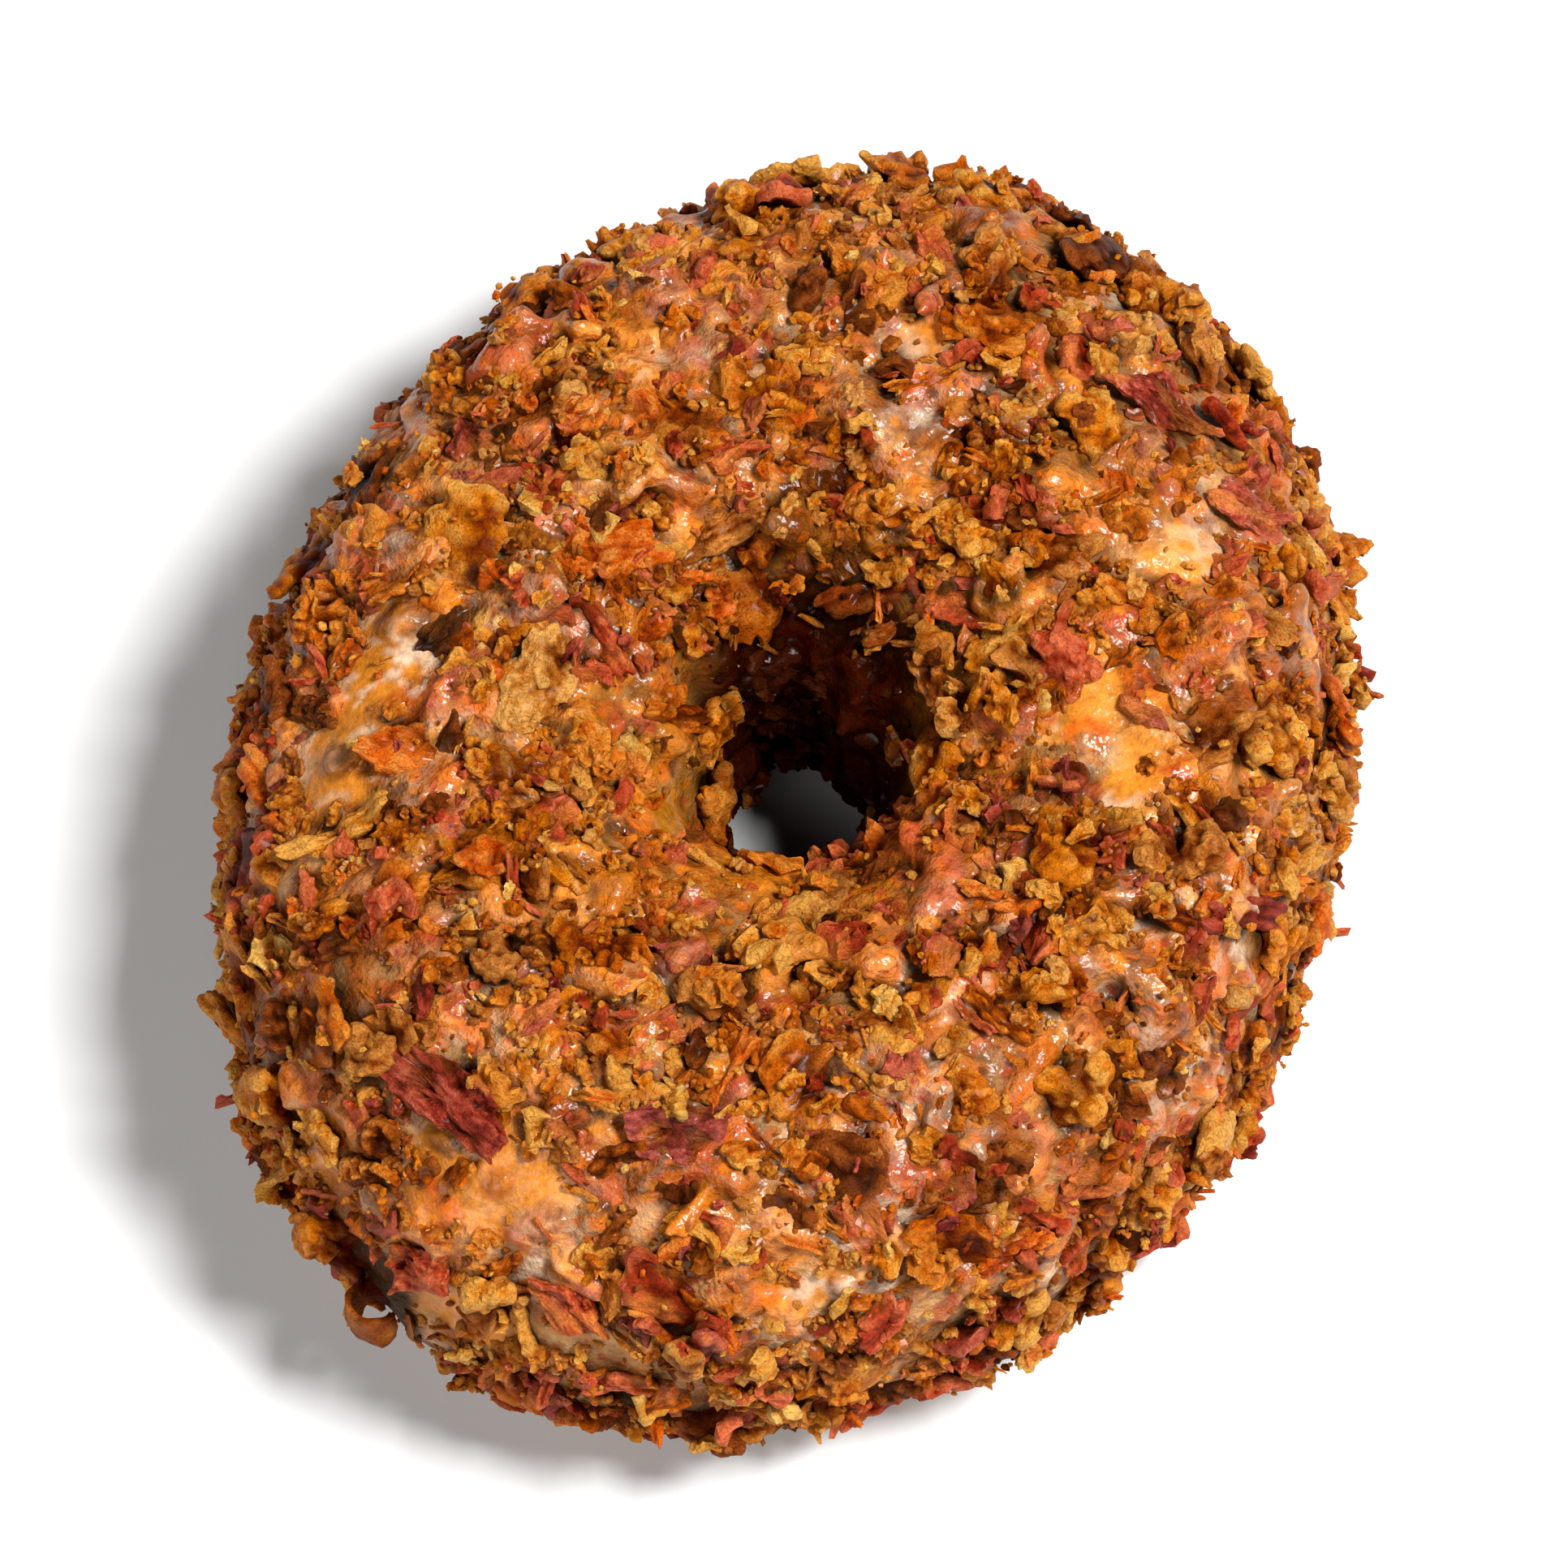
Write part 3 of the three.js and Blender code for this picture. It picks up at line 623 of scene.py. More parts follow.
def placed(group, level):
    """World points, triangles and colouring values of chips, from the model chips."""
    parts = dict(world=[], faces=[], local=[], bulge=[], owner=[], edge=[])
    start = 0
    by_model = {}
    for index, chip in enumerate(group):
        model = chip.get("model") or model_of(chip, level)
        by_model.setdefault(id(model), (model, []))[1].append(index)
    for model, owners in by_model.values():
        same = [group[i] for i in owners]
        p = model["points"]
        keys = ("long", "wide", "thick", "bend", "twist", "ripple")
        long, wide, thick, bend, twist, ripple = (column(same, key)[:, None] for key in keys)
        mirror = np.where(column(same, "seed")[:, None] // 64 % 2 > 0, 1.0, -1.0)
        x, y, z = p[None, :, 0] * long, p[None, :, 1] * wide * mirror, p[None, :, 2] * thick
        turned = twist * x / long
        bow = bend * x**2 / (long / 2) + ripple * np.sin(TURN * 0.8 * x / wide)
        y, z = y * np.cos(turned) - z * np.sin(turned), y * np.sin(turned) + z * np.cos(turned)
        z = z + bow
        centre, lengthways, sideways, upwards, _ = chip_basis(same)
        world = centre[:, None] + x[..., None] * lengthways[:, None] + y[..., None] * sideways[:, None]
        world = world + z[..., None] * upwards[:, None]
        faces = np.repeat(model["faces"][None], len(same), 0)
        faces = np.where(mirror[:, :, None] > 0, faces, faces[:, :, ::-1])
        faces = faces + (start + np.arange(len(same)) * len(p))[:, None, None]
        salt = column(same, "seed")[:, None] * 7.31 % 997
        parts["world"].append(world.reshape(-1, 3))
        parts["faces"].append(faces.reshape(-1, 3))
        parts["local"].append(np.stack([x + salt, y + salt * 0.7, z - salt], -1).reshape(-1, 3))
        parts["bulge"].append(np.tile(model["bulge"], len(same)))
        parts["edge"].append(np.hypot(x / long, y / wide).ravel() * 2)
        parts["owner"].append(np.repeat(owners, len(p)))
        start += len(same) * len(p)
    return {key: np.concatenate(value) for key, value in parts.items()}


# A map of the height of what lies on the dough, over angles round the ring and round the tube
MAP_RING, MAP_TUBE = 900, 260
MAP_LOW, MAP_HIGH = math.radians(-40), math.radians(235)
map_ring = (np.arange(MAP_RING) + 0.5) / MAP_RING * TURN
map_tube = MAP_LOW + (np.arange(MAP_TUBE) + 0.5) / MAP_TUBE * (MAP_HIGH - MAP_LOW)
MAP_U, MAP_V = np.meshgrid(map_ring, map_tube, indexing="ij")
map_point = round_point(MAP_U, MAP_V)
map_out = directions(MAP_U, MAP_V)[2]


def outer_edge(ring):
    return OUTER_EDGE + EDGE_WAVE * (np.sin(6 * ring + 0.5) + 0.6 * np.sin(11 * ring + 2))


def inner_edge(ring):
    return INNER_EDGE + EDGE_WAVE * (np.sin(4 * ring + 1) + 0.5 * np.sin(9 * ring))


def lumps(p):
    across = np.sin(0.8 * p[..., 1] - 0.4 * p[..., 2] + 1)
    return ICING_LUMPS / 2 * (np.sin(0.9 * p[..., 0] + 0.3 * p[..., 2]) + across)


def map_cell(ring, tube):
    i = (np.asarray(ring) / TURN * MAP_RING).astype(int) % MAP_RING
    j = ((np.asarray(tube) - MAP_LOW) / (MAP_HIGH - MAP_LOW) * MAP_TUBE).astype(int)
    return i, np.clip(j, 0, MAP_TUBE - 1)


def map_window(ring, tube, radius):
    """The map's rows and columns within a distance of a place."""
    at = round_point(ring, tube)
    around = max(math.hypot(at[0], at[1]), 4)
    di = int(math.ceil(radius / around / TURN * MAP_RING)) + 1
    dj = int(math.ceil(radius / 14 / (MAP_HIGH - MAP_LOW) * MAP_TUBE)) + 1
    i, j = map_cell(ring, tube)
    rows = np.arange(i - di, i + di + 1) % MAP_RING
    columns = np.arange(max(j - dj, 0), min(j + dj + 1, MAP_TUBE))
    return np.ix_(rows, columns)


def blur(field, passes):
    for _ in range(passes):
        field = (np.roll(field, 1, 0) + 2 * field + np.roll(field, -1, 0)) / 4
        padded = np.pad(field, ((0, 0), (1, 1)), mode="edge")
        field = (padded[:, :-2] + 2 * field + padded[:, 2:]) / 4
    return field


def sample(field, ring, tube):
    """Bilinear reading of a map."""
    a = np.asarray(ring) / TURN * MAP_RING - 0.5
    b = np.clip((np.asarray(tube) - MAP_LOW) / (MAP_HIGH - MAP_LOW) * MAP_TUBE - 0.5, 0, MAP_TUBE - 1.001)
    i, j = np.floor(a).astype(int), np.floor(b).astype(int)
    fa, fb = a - i, b - j
    i, k = i % MAP_RING, (i + 1) % MAP_RING
    low = blend(field[i, j], field[k, j], fa)
    high = blend(field[i, j + 1], field[k, j + 1], fa)
    return blend(low, high, fb)


def under(chip):
    """The map's window round a chip, how far out in the chip each cell is, and the chip's height there."""
    centre, lengthways, sideways, _, out = (a[0] for a in chip_basis([chip]))
    window = map_window(chip["ring"], chip["tube"], 0.55 * chip["long"] + 0.5)
    flat = map_point[window] + map_out[window] * chip["height"] - centre
    x, y = flat @ lengthways, flat @ sideways
    away = np.hypot(x / chip["long"], y / chip["wide"]) * 2
    return window, away, chip["height"] + x * (lengthways @ out) + y * (sideways @ out)


def stamp(field, chip):
    """Raises the map to a chip's top over its footprint."""
    window, away, rise = under(chip)
    top = rise + chip["thick"] / 2 * (1 - 0.5 * np.clip(away, 0, 1) ** 2)
    field[window] = field[window] + (1 - smooth(0.6, 0.88, away)) * np.maximum(top - field[window], 0)


def footprint(field, chip, value):
    """Marks the map where a chip lies."""
    window, away, _ = under(chip)
    field[window] = np.maximum(field[window], np.where(away < 0.85, value, 0))


# Tones of the chips, which of them are coated, and where few chips lie
TONES = {  # dark, middle and light
    "gold": ((136, 46, 1), (222, 122, 12), (238, 166, 72)),
    "amber": ((100, 27, 0), (206, 94, 4), (232, 144, 50)),
    "brown": ((66, 15, 0), (158, 72, 8), (212, 134, 58)),
    "dark": ((30, 8, 1), (90, 32, 4), (152, 74, 24)),
    "pale": ((190, 100, 16), (234, 158, 56), (244, 190, 100)),
    "orange": ((150, 42, 2), (224, 96, 12), (238, 142, 58)),
    "red": ((104, 20, 6), (182, 58, 26), (218, 108, 66)),
    "maroon": ((78, 16, 10), (156, 48, 34), (202, 98, 70)),
    "plum": ((56, 12, 12), (136, 42, 40), (182, 88, 74)),
    "black": ((8, 3, 2), (34, 12, 8), (84, 38, 18)),
    "tan": ((120, 50, 2), (204, 118, 34), (234, 166, 84)),
}
TONES = {name: np.array([linear(*shade) for shade in shades]) for name, shades in TONES.items()}
LEAN = {"red", "maroon", "plum"}
SHARES = {
    "flake": (
        ("gold", 0.26), ("amber", 0.21), ("brown", 0.13), ("pale", 0.06), ("orange", 0.08), ("dark", 0.05),
        ("red", 0.13), ("maroon", 0.06), ("plum", 0.02),
    ),
    "strip": (
        ("orange", 0.20), ("gold", 0.16), ("amber", 0.22), ("brown", 0.08), ("red", 0.22), ("maroon", 0.12),
    ),
    "lump": (
        ("gold", 0.21), ("tan", 0.14), ("pale", 0.03), ("brown", 0.18), ("amber", 0.19), ("dark", 0.07),
        ("red", 0.13), ("maroon", 0.05),
    ),
    "crumb": (
        ("gold", 0.40), ("amber", 0.22), ("brown", 0.10), ("pale", 0.18), ("orange", 0.06), ("dark", 0.04),
    ),
}
LOWEST_COATED, COATED_LIMIT = math.radians(44), 0.68


def toned(names, lightness):
    """Colours of tones made darker or lighter, from -1 for the dark one to 1 for the light one."""
    dark, middle, light = np.array([TONES[name] for name in names]).transpose(1, 0, 2)
    amount = np.clip(lightness, -1, 1)[:, None]
    return middle + np.maximum(amount, 0) * (light - middle) + np.maximum(-amount, 0) * (dark - middle)


def patchy(at, seed):
    """Slow noise over the ring, for places that hold more of a kind."""
    return float(noise(np.asarray(at)[None] / 7.0, seed)[0])


def pick_tone(kind, draw, at):
    """A tone by its share, with the later ones of the list more common in some places than in others."""
    return chosen(SHARES[kind], draw(0, 1) ** (2 ** (-1.5 * patchy(at, 77))))[0]


chips = scattered_chips()
for chip in chips + small_pieces:
    draw = stream(chip["seed"] + 90000)
    at = surface_point(chip["ring"], chip["tube"], ICING)
    tone = pick_tone(chip["kind"], draw, at)
    chip["tone"] = "gold" if tone == "pale" else tone
    coating = draw(0, 1) + 0.35 * patchy(at, 31) + (0.3 if chip["kind"] == "lump" else 0)
    chip["coated"] = coating > COATED_LIMIT and chip["tube"] > LOWEST_COATED
    chip["light"] = draw(-0.55, 0.4)
    chip["twist"] = draw(-0.5, 0.5)
for piece, row in zip(small_pieces, SMALL_PIECES):
    piece.update(tone=row[0], coated=False)
# the flake that sticks out at the left, and the rolled curl at the lower left
small_pieces[0].update(long=9.8, wide=3.4, tilt=math.radians(32), kind="strip")
small_pieces[11].update(
    model=rolled_curl(), long=5.6, wide=5.2, thick=3.4, roll=math.radians(80), tilt=0.0, turn=0.3, bend=0.0,
    height=3.4, tube=math.radians(1),
)

bare_share = np.zeros(MAP_U.shape)
for ring, tube, size in BARE_PATCHES:
    spot = round_point(math.radians(ring), math.radians(tube))
    along = directions(math.radians(ring), math.radians(tube))[0]
    offset = map_point - spot
    away = np.sqrt(np.maximum((offset**2).sum(-1) - 0.6 * (offset @ along) ** 2, 0))
    away = away + 1.5 * noise(map_point * 0.45, 44) + 0.7 * noise(map_point * 1.1, 45)
    bare_share = np.maximum(bare_share, 1 - smooth(size * 0.6, size * 0.95, away))
relief = noise(map_point * 0.7, 41) * 0.3 + noise(map_point * 1.5, 42) * 0.14
icing_height = np.full(MAP_U.shape, ICING) + lumps(map_point)
icing_height = icing_height + relief * (1 - bare_share)

pile = icing_height.copy()
for piece in [*large_pieces, *chips, *small_pieces]:
    stamp(pile, piece)
ceiling = blur(pile, 12) + 0.75
covered = np.zeros(MAP_U.shape)
for piece in [*large_pieces, *small_pieces]:
    footprint(covered, piece, 1.0)
for piece in chips:
    footprint(covered, piece, 0.3 if piece["coated"] else 0.6)
throat = 0.2 * smooth(math.radians(118), math.radians(124), MAP_V)
throat = throat + 0.6 * smooth(math.radians(132), math.radians(148), MAP_V)
skirt = 0.15 * (1 - smooth(math.radians(-5), math.radians(30), MAP_V))
keep_off = np.maximum(np.maximum(covered, bare_share * 0.92), np.maximum(throat, skirt))

# Bits dropped on the icing and on the larger chips, from the largest to the crumbs
DROPPED_SHAPES = {  # width and thickness as shares of the length
    "flake": ((0.6, 0.95), (0.32, 0.54)),
    "strip": ((0.26, 0.42), (0.22, 0.38)),
    "lump": ((0.65, 0.95), (0.5, 0.8)),
    "crumb": ((0.6, 1.0), (0.5, 0.9)),
}
TRIES_EACH, SEED_STEP = 14, 31
RIM_RADIUS = 50  # nearer the hole, fewer tries count, for an even spread
ALL_ROUND = (0.0, TURN)
ALL_ACROSS = (math.radians(-33), math.radians(214))


def dropped(count, kinds, sizes, seed, tilt_spread, sink, clump, rings=ALL_ROUND, tubes=ALL_ACROSS):
    """Chips dropped on what lies there already, with their heights read from the pile.

    Each is tilted and rolled by up to the spread and sunk by a share of its thickness. The larger the
    clump, the more of them lie in groups.
    """
    made = []
    tries = 0
    while len(made) < count and tries < count * TRIES_EACH:
        draw = stream(seed + tries * SEED_STEP)
        tries += 1
        ring, tube = draw(*rings), draw(*tubes)
        at = round_point(ring, tube)
        if math.hypot(at[0], at[1]) / RIM_RADIUS < draw(0, 1):
            continue
        i, j = map_cell(ring, tube)
        if keep_off[i, j] > draw(0, 1):
            continue
        if tube > inner_edge(ring) - 0.1 or tube < outer_edge(ring) + 0.06:
            continue
        if clump and patchy(at * 1.6, 55) < draw(-1, 1) * clump - 0.25:
            continue
        long = sizes[0] + (sizes[1] - sizes[0]) * draw(0, 1) ** 1.6
        kind = chosen(kinds, draw(0, 1))[0]
        wide, thick = (long * draw(*share) for share in DROPPED_SHAPES[kind])
        if kind == "strip":
            long *= 1.4
        height = float(np.percentile(pile[map_window(ring, tube, 0.3 * long)], 40)) + thick * (0.5 - sink)
        height = min(height, float(ceiling[i, j]) - 0.35 * thick, float(pile[i, j]) + 0.3 * thick)
        loose = THROAT_SHARE if abs(tube - math.pi) < THROAT * 0.7 else 1
        made.append(
            dict(
                kind=kind, long=long, wide=wide, thick=thick, bend=draw(-0.1, 0.3), ring=ring, tube=tube,
                turn=draw(0, TURN), tilt=loose * math.radians(draw(-tilt_spread, tilt_spread)),
                roll=loose * math.radians(draw(-tilt_spread, tilt_spread)), height=height,
                seed=seed + tries * SEED_STEP + 7, twist=draw(-0.8, 0.8), light=draw(-0.65, 0.45),
                tone=pick_tone(kind, draw, at),
            )
        )
    return made


SUNK_KINDS = (("flake", 0.35), ("lump", 0.65))
MEDIUM_KINDS = (("flake", 0.62), ("strip", 0.2), ("lump", 0.18))
SMALL_KINDS = (("flake", 0.5), ("strip", 0.2), ("lump", 0.3))
RIM_KINDS = (("flake", 0.6), ("strip", 0.2), ("lump", 0.2))
RAGGED_KINDS = (("flake", 0.7), ("strip", 0.3))
FAR_RIM = (math.radians(25), math.radians(170)), (math.radians(94), math.radians(134))
NEAR_RIM = (math.radians(205), math.radians(385)), (math.radians(84), math.radians(124))

sunk_bits = dropped(1000, SUNK_KINDS, (1.5, 4.2), 310000, 22, 0.5, 0.0, ALL_ROUND, (0.5, ALL_ACROSS[1]))
for bit in sunk_bits:
    surface = float(icing_height[map_cell(bit["ring"], bit["tube"])])
    bit["height"] = min(bit["height"], surface + 0.22 * bit["thick"])
medium = dropped(1400, MEDIUM_KINDS, (2.0, 5.2), 410000, 38, 0.3, 0.6)
medium += dropped(110, RIM_KINDS, (2.2, 4.6), 640000, 40, 0.25, 0.0, *FAR_RIM)
medium += dropped(90, RIM_KINDS, (2.0, 3.8), 680000, 40, 0.25, 0.0, *NEAR_RIM)
medium += dropped(130, RAGGED_KINDS, (2.6, 5.0), 720000, 70, 0.1, 0.0, ALL_ROUND, (-0.3, 0.4))
for bit in medium:
    stamp(pile, bit)
pile_mean = blur(pile, 25)
small = dropped(2000, SMALL_KINDS, (1.0, 2.6), 520000, 50, 0.2, 0.7)
crumbs = dropped(3000, (("crumb", 1.0),), (0.5, 1.15), 830000, 60, 0.1, 0.8)
for crumb in crumbs:
    crumb["light"] += 0.15


# Materials
class Shading:
    """The nodes of a material. Each method returns outputs; an input takes an output or a constant."""

    def __init__(self, name):
        self.material = bpy.data.materials.new(name)
        self.material.use_nodes = True
        self.tree = self.material.node_tree

    def put(self, socket, value):
        if isinstance(value, bpy.types.NodeSocket):
            self.tree.links.new(value, socket)
        else:
            socket.default_value = value

    def node(self, kind, inputs, **settings):
        made = self.tree.nodes.new("ShaderNode" + kind)
        for key, value in settings.items():
            setattr(made, key, value)
        for socket, value in inputs.items():
            self.put(made.inputs[socket], value)
        return made.outputs

    def attribute(self, name):
        return self.node("Attribute", {}, attribute_name=name)

    def clouds(self, vector, scale, detail=3.0, roughness=0.6, distortion=0.0, output="Fac"):
        inputs = {"Vector": vector, "Scale": scale, "Detail": detail, "Roughness": roughness}
        return self.node("TexNoise", {**inputs, "Distortion": distortion})[output]

    def ramp(self, source, low, high, low_value=0.0, high_value=1.0):
        limits = {"From Min": low, "From Max": high, "To Min": low_value, "To Max": high_value}
        return self.node("MapRange", {"Value": source, **limits})["Result"]

    def spread(self, source, low_value, high_value):
        """Values from one to another over the middle of a noise."""
        return self.ramp(source, 0.3, 0.7, low_value, high_value)

    def product(self, a, b):
        return self.node("Math", {0: a, 1: b}, operation="MULTIPLY")[0]

    def mix(self, factor, a, b, blend_type="MIX"):
        return self.node("Mix", {0: factor, 6: a, 7: b}, data_type="RGBA", blend_type=blend_type)[2]

    def shaded(self, colour, source, darkest, lightest):
        """A colour made darker and lighter by a noise."""
        return self.mix(1.0, colour, self.spread(source, darkest, lightest), "MULTIPLY")

    def bump(self, height, distance, strength, normal=None):
        inputs = {"Height": height, "Distance": distance, "Strength": strength}
        if normal:
            inputs["Normal"] = normal
        return self.node("Bump", inputs)["Normal"]

    def palette(self, source, stops):
        """The middle of one tone after another, each from its stop up to the next."""
        made = self.tree.nodes.new("ShaderNodeValToRGB")
        made.color_ramp.interpolation = "CONSTANT"
        elements = made.color_ramp.elements
        for place, tone in stops:
            stop = elements[0] if place == 0 else elements.new(place)
            stop.color = (*TONES[tone][1], 1)
        elements.remove(elements[-1])
        self.put(made.inputs["Fac"], source)
        return made.outputs["Color"]

    def finished(self, inputs):
        """The material, with what goes into its shader."""
        for name, value in inputs.items():
            self.put(self.tree.nodes["Principled BSDF"].inputs[name], value)
        return self.material


WARM_SCATTER = (1.0, 0.5, 0.2)


def bacon_material(name, lean):
    """Crisp bacon: the tint of each chip, mottled, with fibres on lean meat and blisters on fat."""
    shading = Shading(name)
    tint = shading.attribute("tint")
    grain = shading.attribute("grain")["Vector"]
    wet = shading.attribute("wet")["Fac"]
    mottle = shading.clouds(grain, 0.9, 3.0, 0.65)
    fine = shading.clouds(grain, 3.2, 4.0, 0.7)
    colour = shading.shaded(tint["Color"], mottle, 0.84, 1.2)
    colour = shading.shaded(colour, fine, 0.72, 1.3)
    normal = shading.bump(fine, 0.0006, 1.0)
    if lean:
        stretched = shading.node("Mapping", {"Vector": grain, "Scale": (0.5, 1.8, 1.8)})["Vector"]
        fibre = shading.clouds(stretched, 1.2, 3.0, 0.6, 0.8)
        streak = shading.ramp(fibre, 0.34, 0.66, 0.76, 1.3)
        colour = shading.mix(0.85, colour, shading.mix(1.0, colour, streak, "MULTIPLY"))
        normal = shading.bump(fibre, 0.0003, 0.5, normal)
    else:
        blister = shading.node("TexVoronoi", {"Vector": grain, "Scale": 1.7})["Distance"]
        normal = shading.bump(blister, 0.0004, 0.6, normal)
    dry = shading.spread(fine, 0.34, 0.56)
    glazed = shading.product(wet, 0.22)
    return shading.finished({
        "Base Color": colour,
        "Roughness": shading.node("Math", {0: dry, 1: glazed}, operation="SUBTRACT")[0],
        "Specular IOR Level": shading.ramp(tint["Alpha"], 0.0, 1.0, 0.0, 0.17),
        "Specular Tint": (*WARM_SCATTER, 1),
        "Coat Weight": shading.product(shading.ramp(wet, 0.0, 1.0, 0.035, 0.35), tint["Alpha"]),
        "Coat Roughness": 0.18,
        "Normal": normal,
    })


def icing_material():
    """Glaze in its own tint, with coated bits showing through wherever it isn't a bare puddle."""
    shading = Shading("maple_icing")
    tint = shading.attribute("tint")
    grain = shading.attribute("grain")["Vector"]
    wet = shading.attribute("wet")["Fac"]
    cloud = shading.clouds(grain, 0.35, 3.0, 0.55)
    fine = shading.clouds(grain, 1.6, 4.0, 0.65)
    wander = shading.clouds(grain, 1.3, 2.0, 0.5, output="Color")
    warped = shading.node("VectorMath", {0: wander, 1: (0.9, 0.9, 0.9), 2: grain}, operation="MULTIPLY_ADD")
    bits = shading.node("TexVoronoi", {"Vector": warped[0], "Scale": 0.85})
    pick = shading.node("SeparateColor", {0: bits["Color"]})
    stops = ((0.0, "dark"), (0.12, "red"), (0.22, "amber"), (0.5, "brown"), (0.75, "gold"))
    tones = shading.palette(pick[0], stops)
    shows = shading.ramp(bits["Distance"], 0.25, 0.6, 0.7, 0.0)
    shows = shading.product(shows, shading.ramp(pick[1], 0.25, 0.35))
    shows = shading.product(shows, shading.ramp(wet, 0.0, 0.8, 1.0, 0.0))
    # the bits seen through the glaze are darkened where the fourth channel is low: painted shade in crevices
    # and in the hole, and on the low sides
    tones = shading.node("VectorMath", {0: tones, "Scale": tint["Alpha"]}, operation="SCALE")[0]
    colour = shading.shaded(shading.mix(shows, tint["Color"], tones), cloud, 0.82, 1.18)
    level = shading.node("SeparateXYZ", {0: grain})["Z"]
    uneven = shading.product(fine, shading.ramp(wet, 0.0, 1.0, 1.0, 0.3))
    normal = shading.bump(uneven, 0.0007, 0.8)
    return shading.finished({
        "Base Color": shading.shaded(colour, fine, 0.7, 1.25),
        "Roughness": shading.spread(fine, 0.3, 0.45),
        "Specular IOR Level": shading.ramp(tint["Alpha"], 0.0, 1.0, 0.0, 0.28),
        "Specular Tint": (1.0, 0.65, 0.35, 1),
        "Coat Weight": shading.product(shading.ramp(level, 14.0, 27.0, 0.05, 0.6), tint["Alpha"]),
        "Coat Roughness": 0.25,
        "Subsurface Weight": 0.08,
        "Subsurface Radius": WARM_SCATTER,
        "Subsurface Scale": 0.0012,
        "Normal": shading.bump(shading.product(shows, -1.0), 0.0004, 0.5, normal),
        "Coat Normal": shading.bump(shading.clouds(grain, 0.9, 2.0, 0.5), 0.0006, 0.6),
    })


def dough_material():
    shading = Shading("fried_dough")
    grain = shading.attribute("grain")["Vector"]
    cloud = shading.clouds(grain, 0.25, 5.0, 0.6)
    fine = shading.clouds(grain, 1.4, 5.0, 0.7)
    colour = shading.shaded(shading.attribute("tint")["Color"], cloud, 0.75, 1.2)
    return shading.finished({
        "Base Color": shading.shaded(colour, fine, 0.85, 1.12),
        "Roughness": 0.62,
        "Subsurface Weight": 0.1,
        "Subsurface Radius": WARM_SCATTER,
        "Subsurface Scale": 0.001,
        "Normal": shading.bump(fine, 0.0006, 0.5),
    })


FAT = bacon_material("crisp_bacon_fat", False)
LEAN_MEAT = bacon_material("crisp_bacon_lean", True)
GLAZE = icing_material()
DOUGH = dough_material()

# The icing: its skin and the coated bits are fused, so that it flows over them
FAR_WALL = math.radians(95)
# how much of red, green and blue the painted shade takes away deep in the hole
WALL_SHADE = np.array([0.955, 0.985, 0.994])
SKIN_ROWS, SKIN_COLUMNS = 420, 150
INSIDE = -1.1  # how deep the skin runs inside the dough where there is no icing
ICING_VOXEL = 0.51
DEEPEST_KEPT = -0.75
LOW, HIGH = np.array(cad_low) / MM - MIDDLE, np.array(cad_high) / MM - MIDDLE
LOW[2] = 0.1
# the whitish vein colour is partly milky glaze and partly a painted sheen
TAN, MILKY, VEIN_AND_SHEEN = linear(170, 90, 20), linear(202, 146, 88), linear(222, 193, 162)
# the last of these is painted shade for the crevices between chips
PUDDLE, CARAMEL, CREVICE_SHADE = linear(212, 128, 36), linear(160, 98, 14), linear(26, 5, 0)


def shade_in_throat(ring, tube, shift):
    """Painted shade on the walls of the hole: the share of each colour left there, little apart from the
    bare glaze on one side.
    """
    far = (1 + np.cos(ring - FAR_WALL)) / 2
    start = math.radians(116) + math.radians(34) * (1 - far) + shift
    dark = smooth(0, math.radians(28), tube - start)
    return 1 - dark[:, None] * WALL_SHADE


def low_sides(points):
    """How much of the gloss is kept: less on the low sides than on the crown."""
    return 0.2 + 0.8 * smooth(9.0, 23.0, points[..., 2])


def icing_skin():
    """The points and triangles of the plain icing, which closes inside the dough below its edges."""
    rows = np.arange(SKIN_ROWS) / SKIN_ROWS * TURN
    columns = math.radians(-90) + np.arange(SKIN_COLUMNS) / SKIN_COLUMNS * TURN
    ring, tube = np.meshgrid(rows, columns, indexing="ij")
    from_edge = np.minimum(tube - outer_edge(ring), inner_edge(ring) - tube) * 16
    lip = np.sqrt(np.clip(from_edge / 2.2, 0, 1))
    height = np.where(from_edge > 0, sample(icing_height, ring, tube) * lip, 0)
    height = height + INSIDE * (1 - smooth(-1.2, 0.5, from_edge))
    faces = tube_faces(SKIN_ROWS, SKIN_COLUMNS)
    faces = np.concatenate([faces[:, :3], faces[:, [0, 2, 3]]])
    return surface_point(ring, tube, height).reshape(-1, 3), faces


def nearest_bits(points, bit_points):
    """The number of the bit's point nearest to each point, and how far away it is."""
    tree = KDTree(len(bit_points))
    for index, point in enumerate(bit_points):
        tree.insert(point, index)
    tree.balance()
    found = [tree.find(point) for point in points]
    return np.array([f[1] for f in found]), np.array([f[2] for f in found])


def glaze_colour(points, tube, bare):
    """Tan and milky glaze with whitish veins, partly milky glaze and partly a painted sheen, darker puddles
    where it is bare, and caramel in the hole.
    """
    slow = smooth(-0.5, 0.5, noise(points / 3.0, 61) + 0.5 * noise(points / 1.2, 63))[:, None]
    broad = 1 + 0.28 * noise(points / 6.0, 64)[:, None]
    vein_and_sheen = 1 - np.abs(noise(points / 2.2 + 0.5 * noise(points / 1.1, 66)[:, None], 65))[:, None]
    vein_and_sheen = 0.9 * smooth(0.7, 0.93, vein_and_sheen) * smooth(-0.3, 0.5, noise(points / 9.0, 67))[:, None]
    throat = 0.85 * smooth(math.radians(98), math.radians(122), tube)[:, None]
    glaze = blend(blend(TAN, MILKY, slow), PUDDLE, bare) * broad
    return blend(blend(glaze, VEIN_AND_SHEEN, vein_and_sheen), CARAMEL, throat)


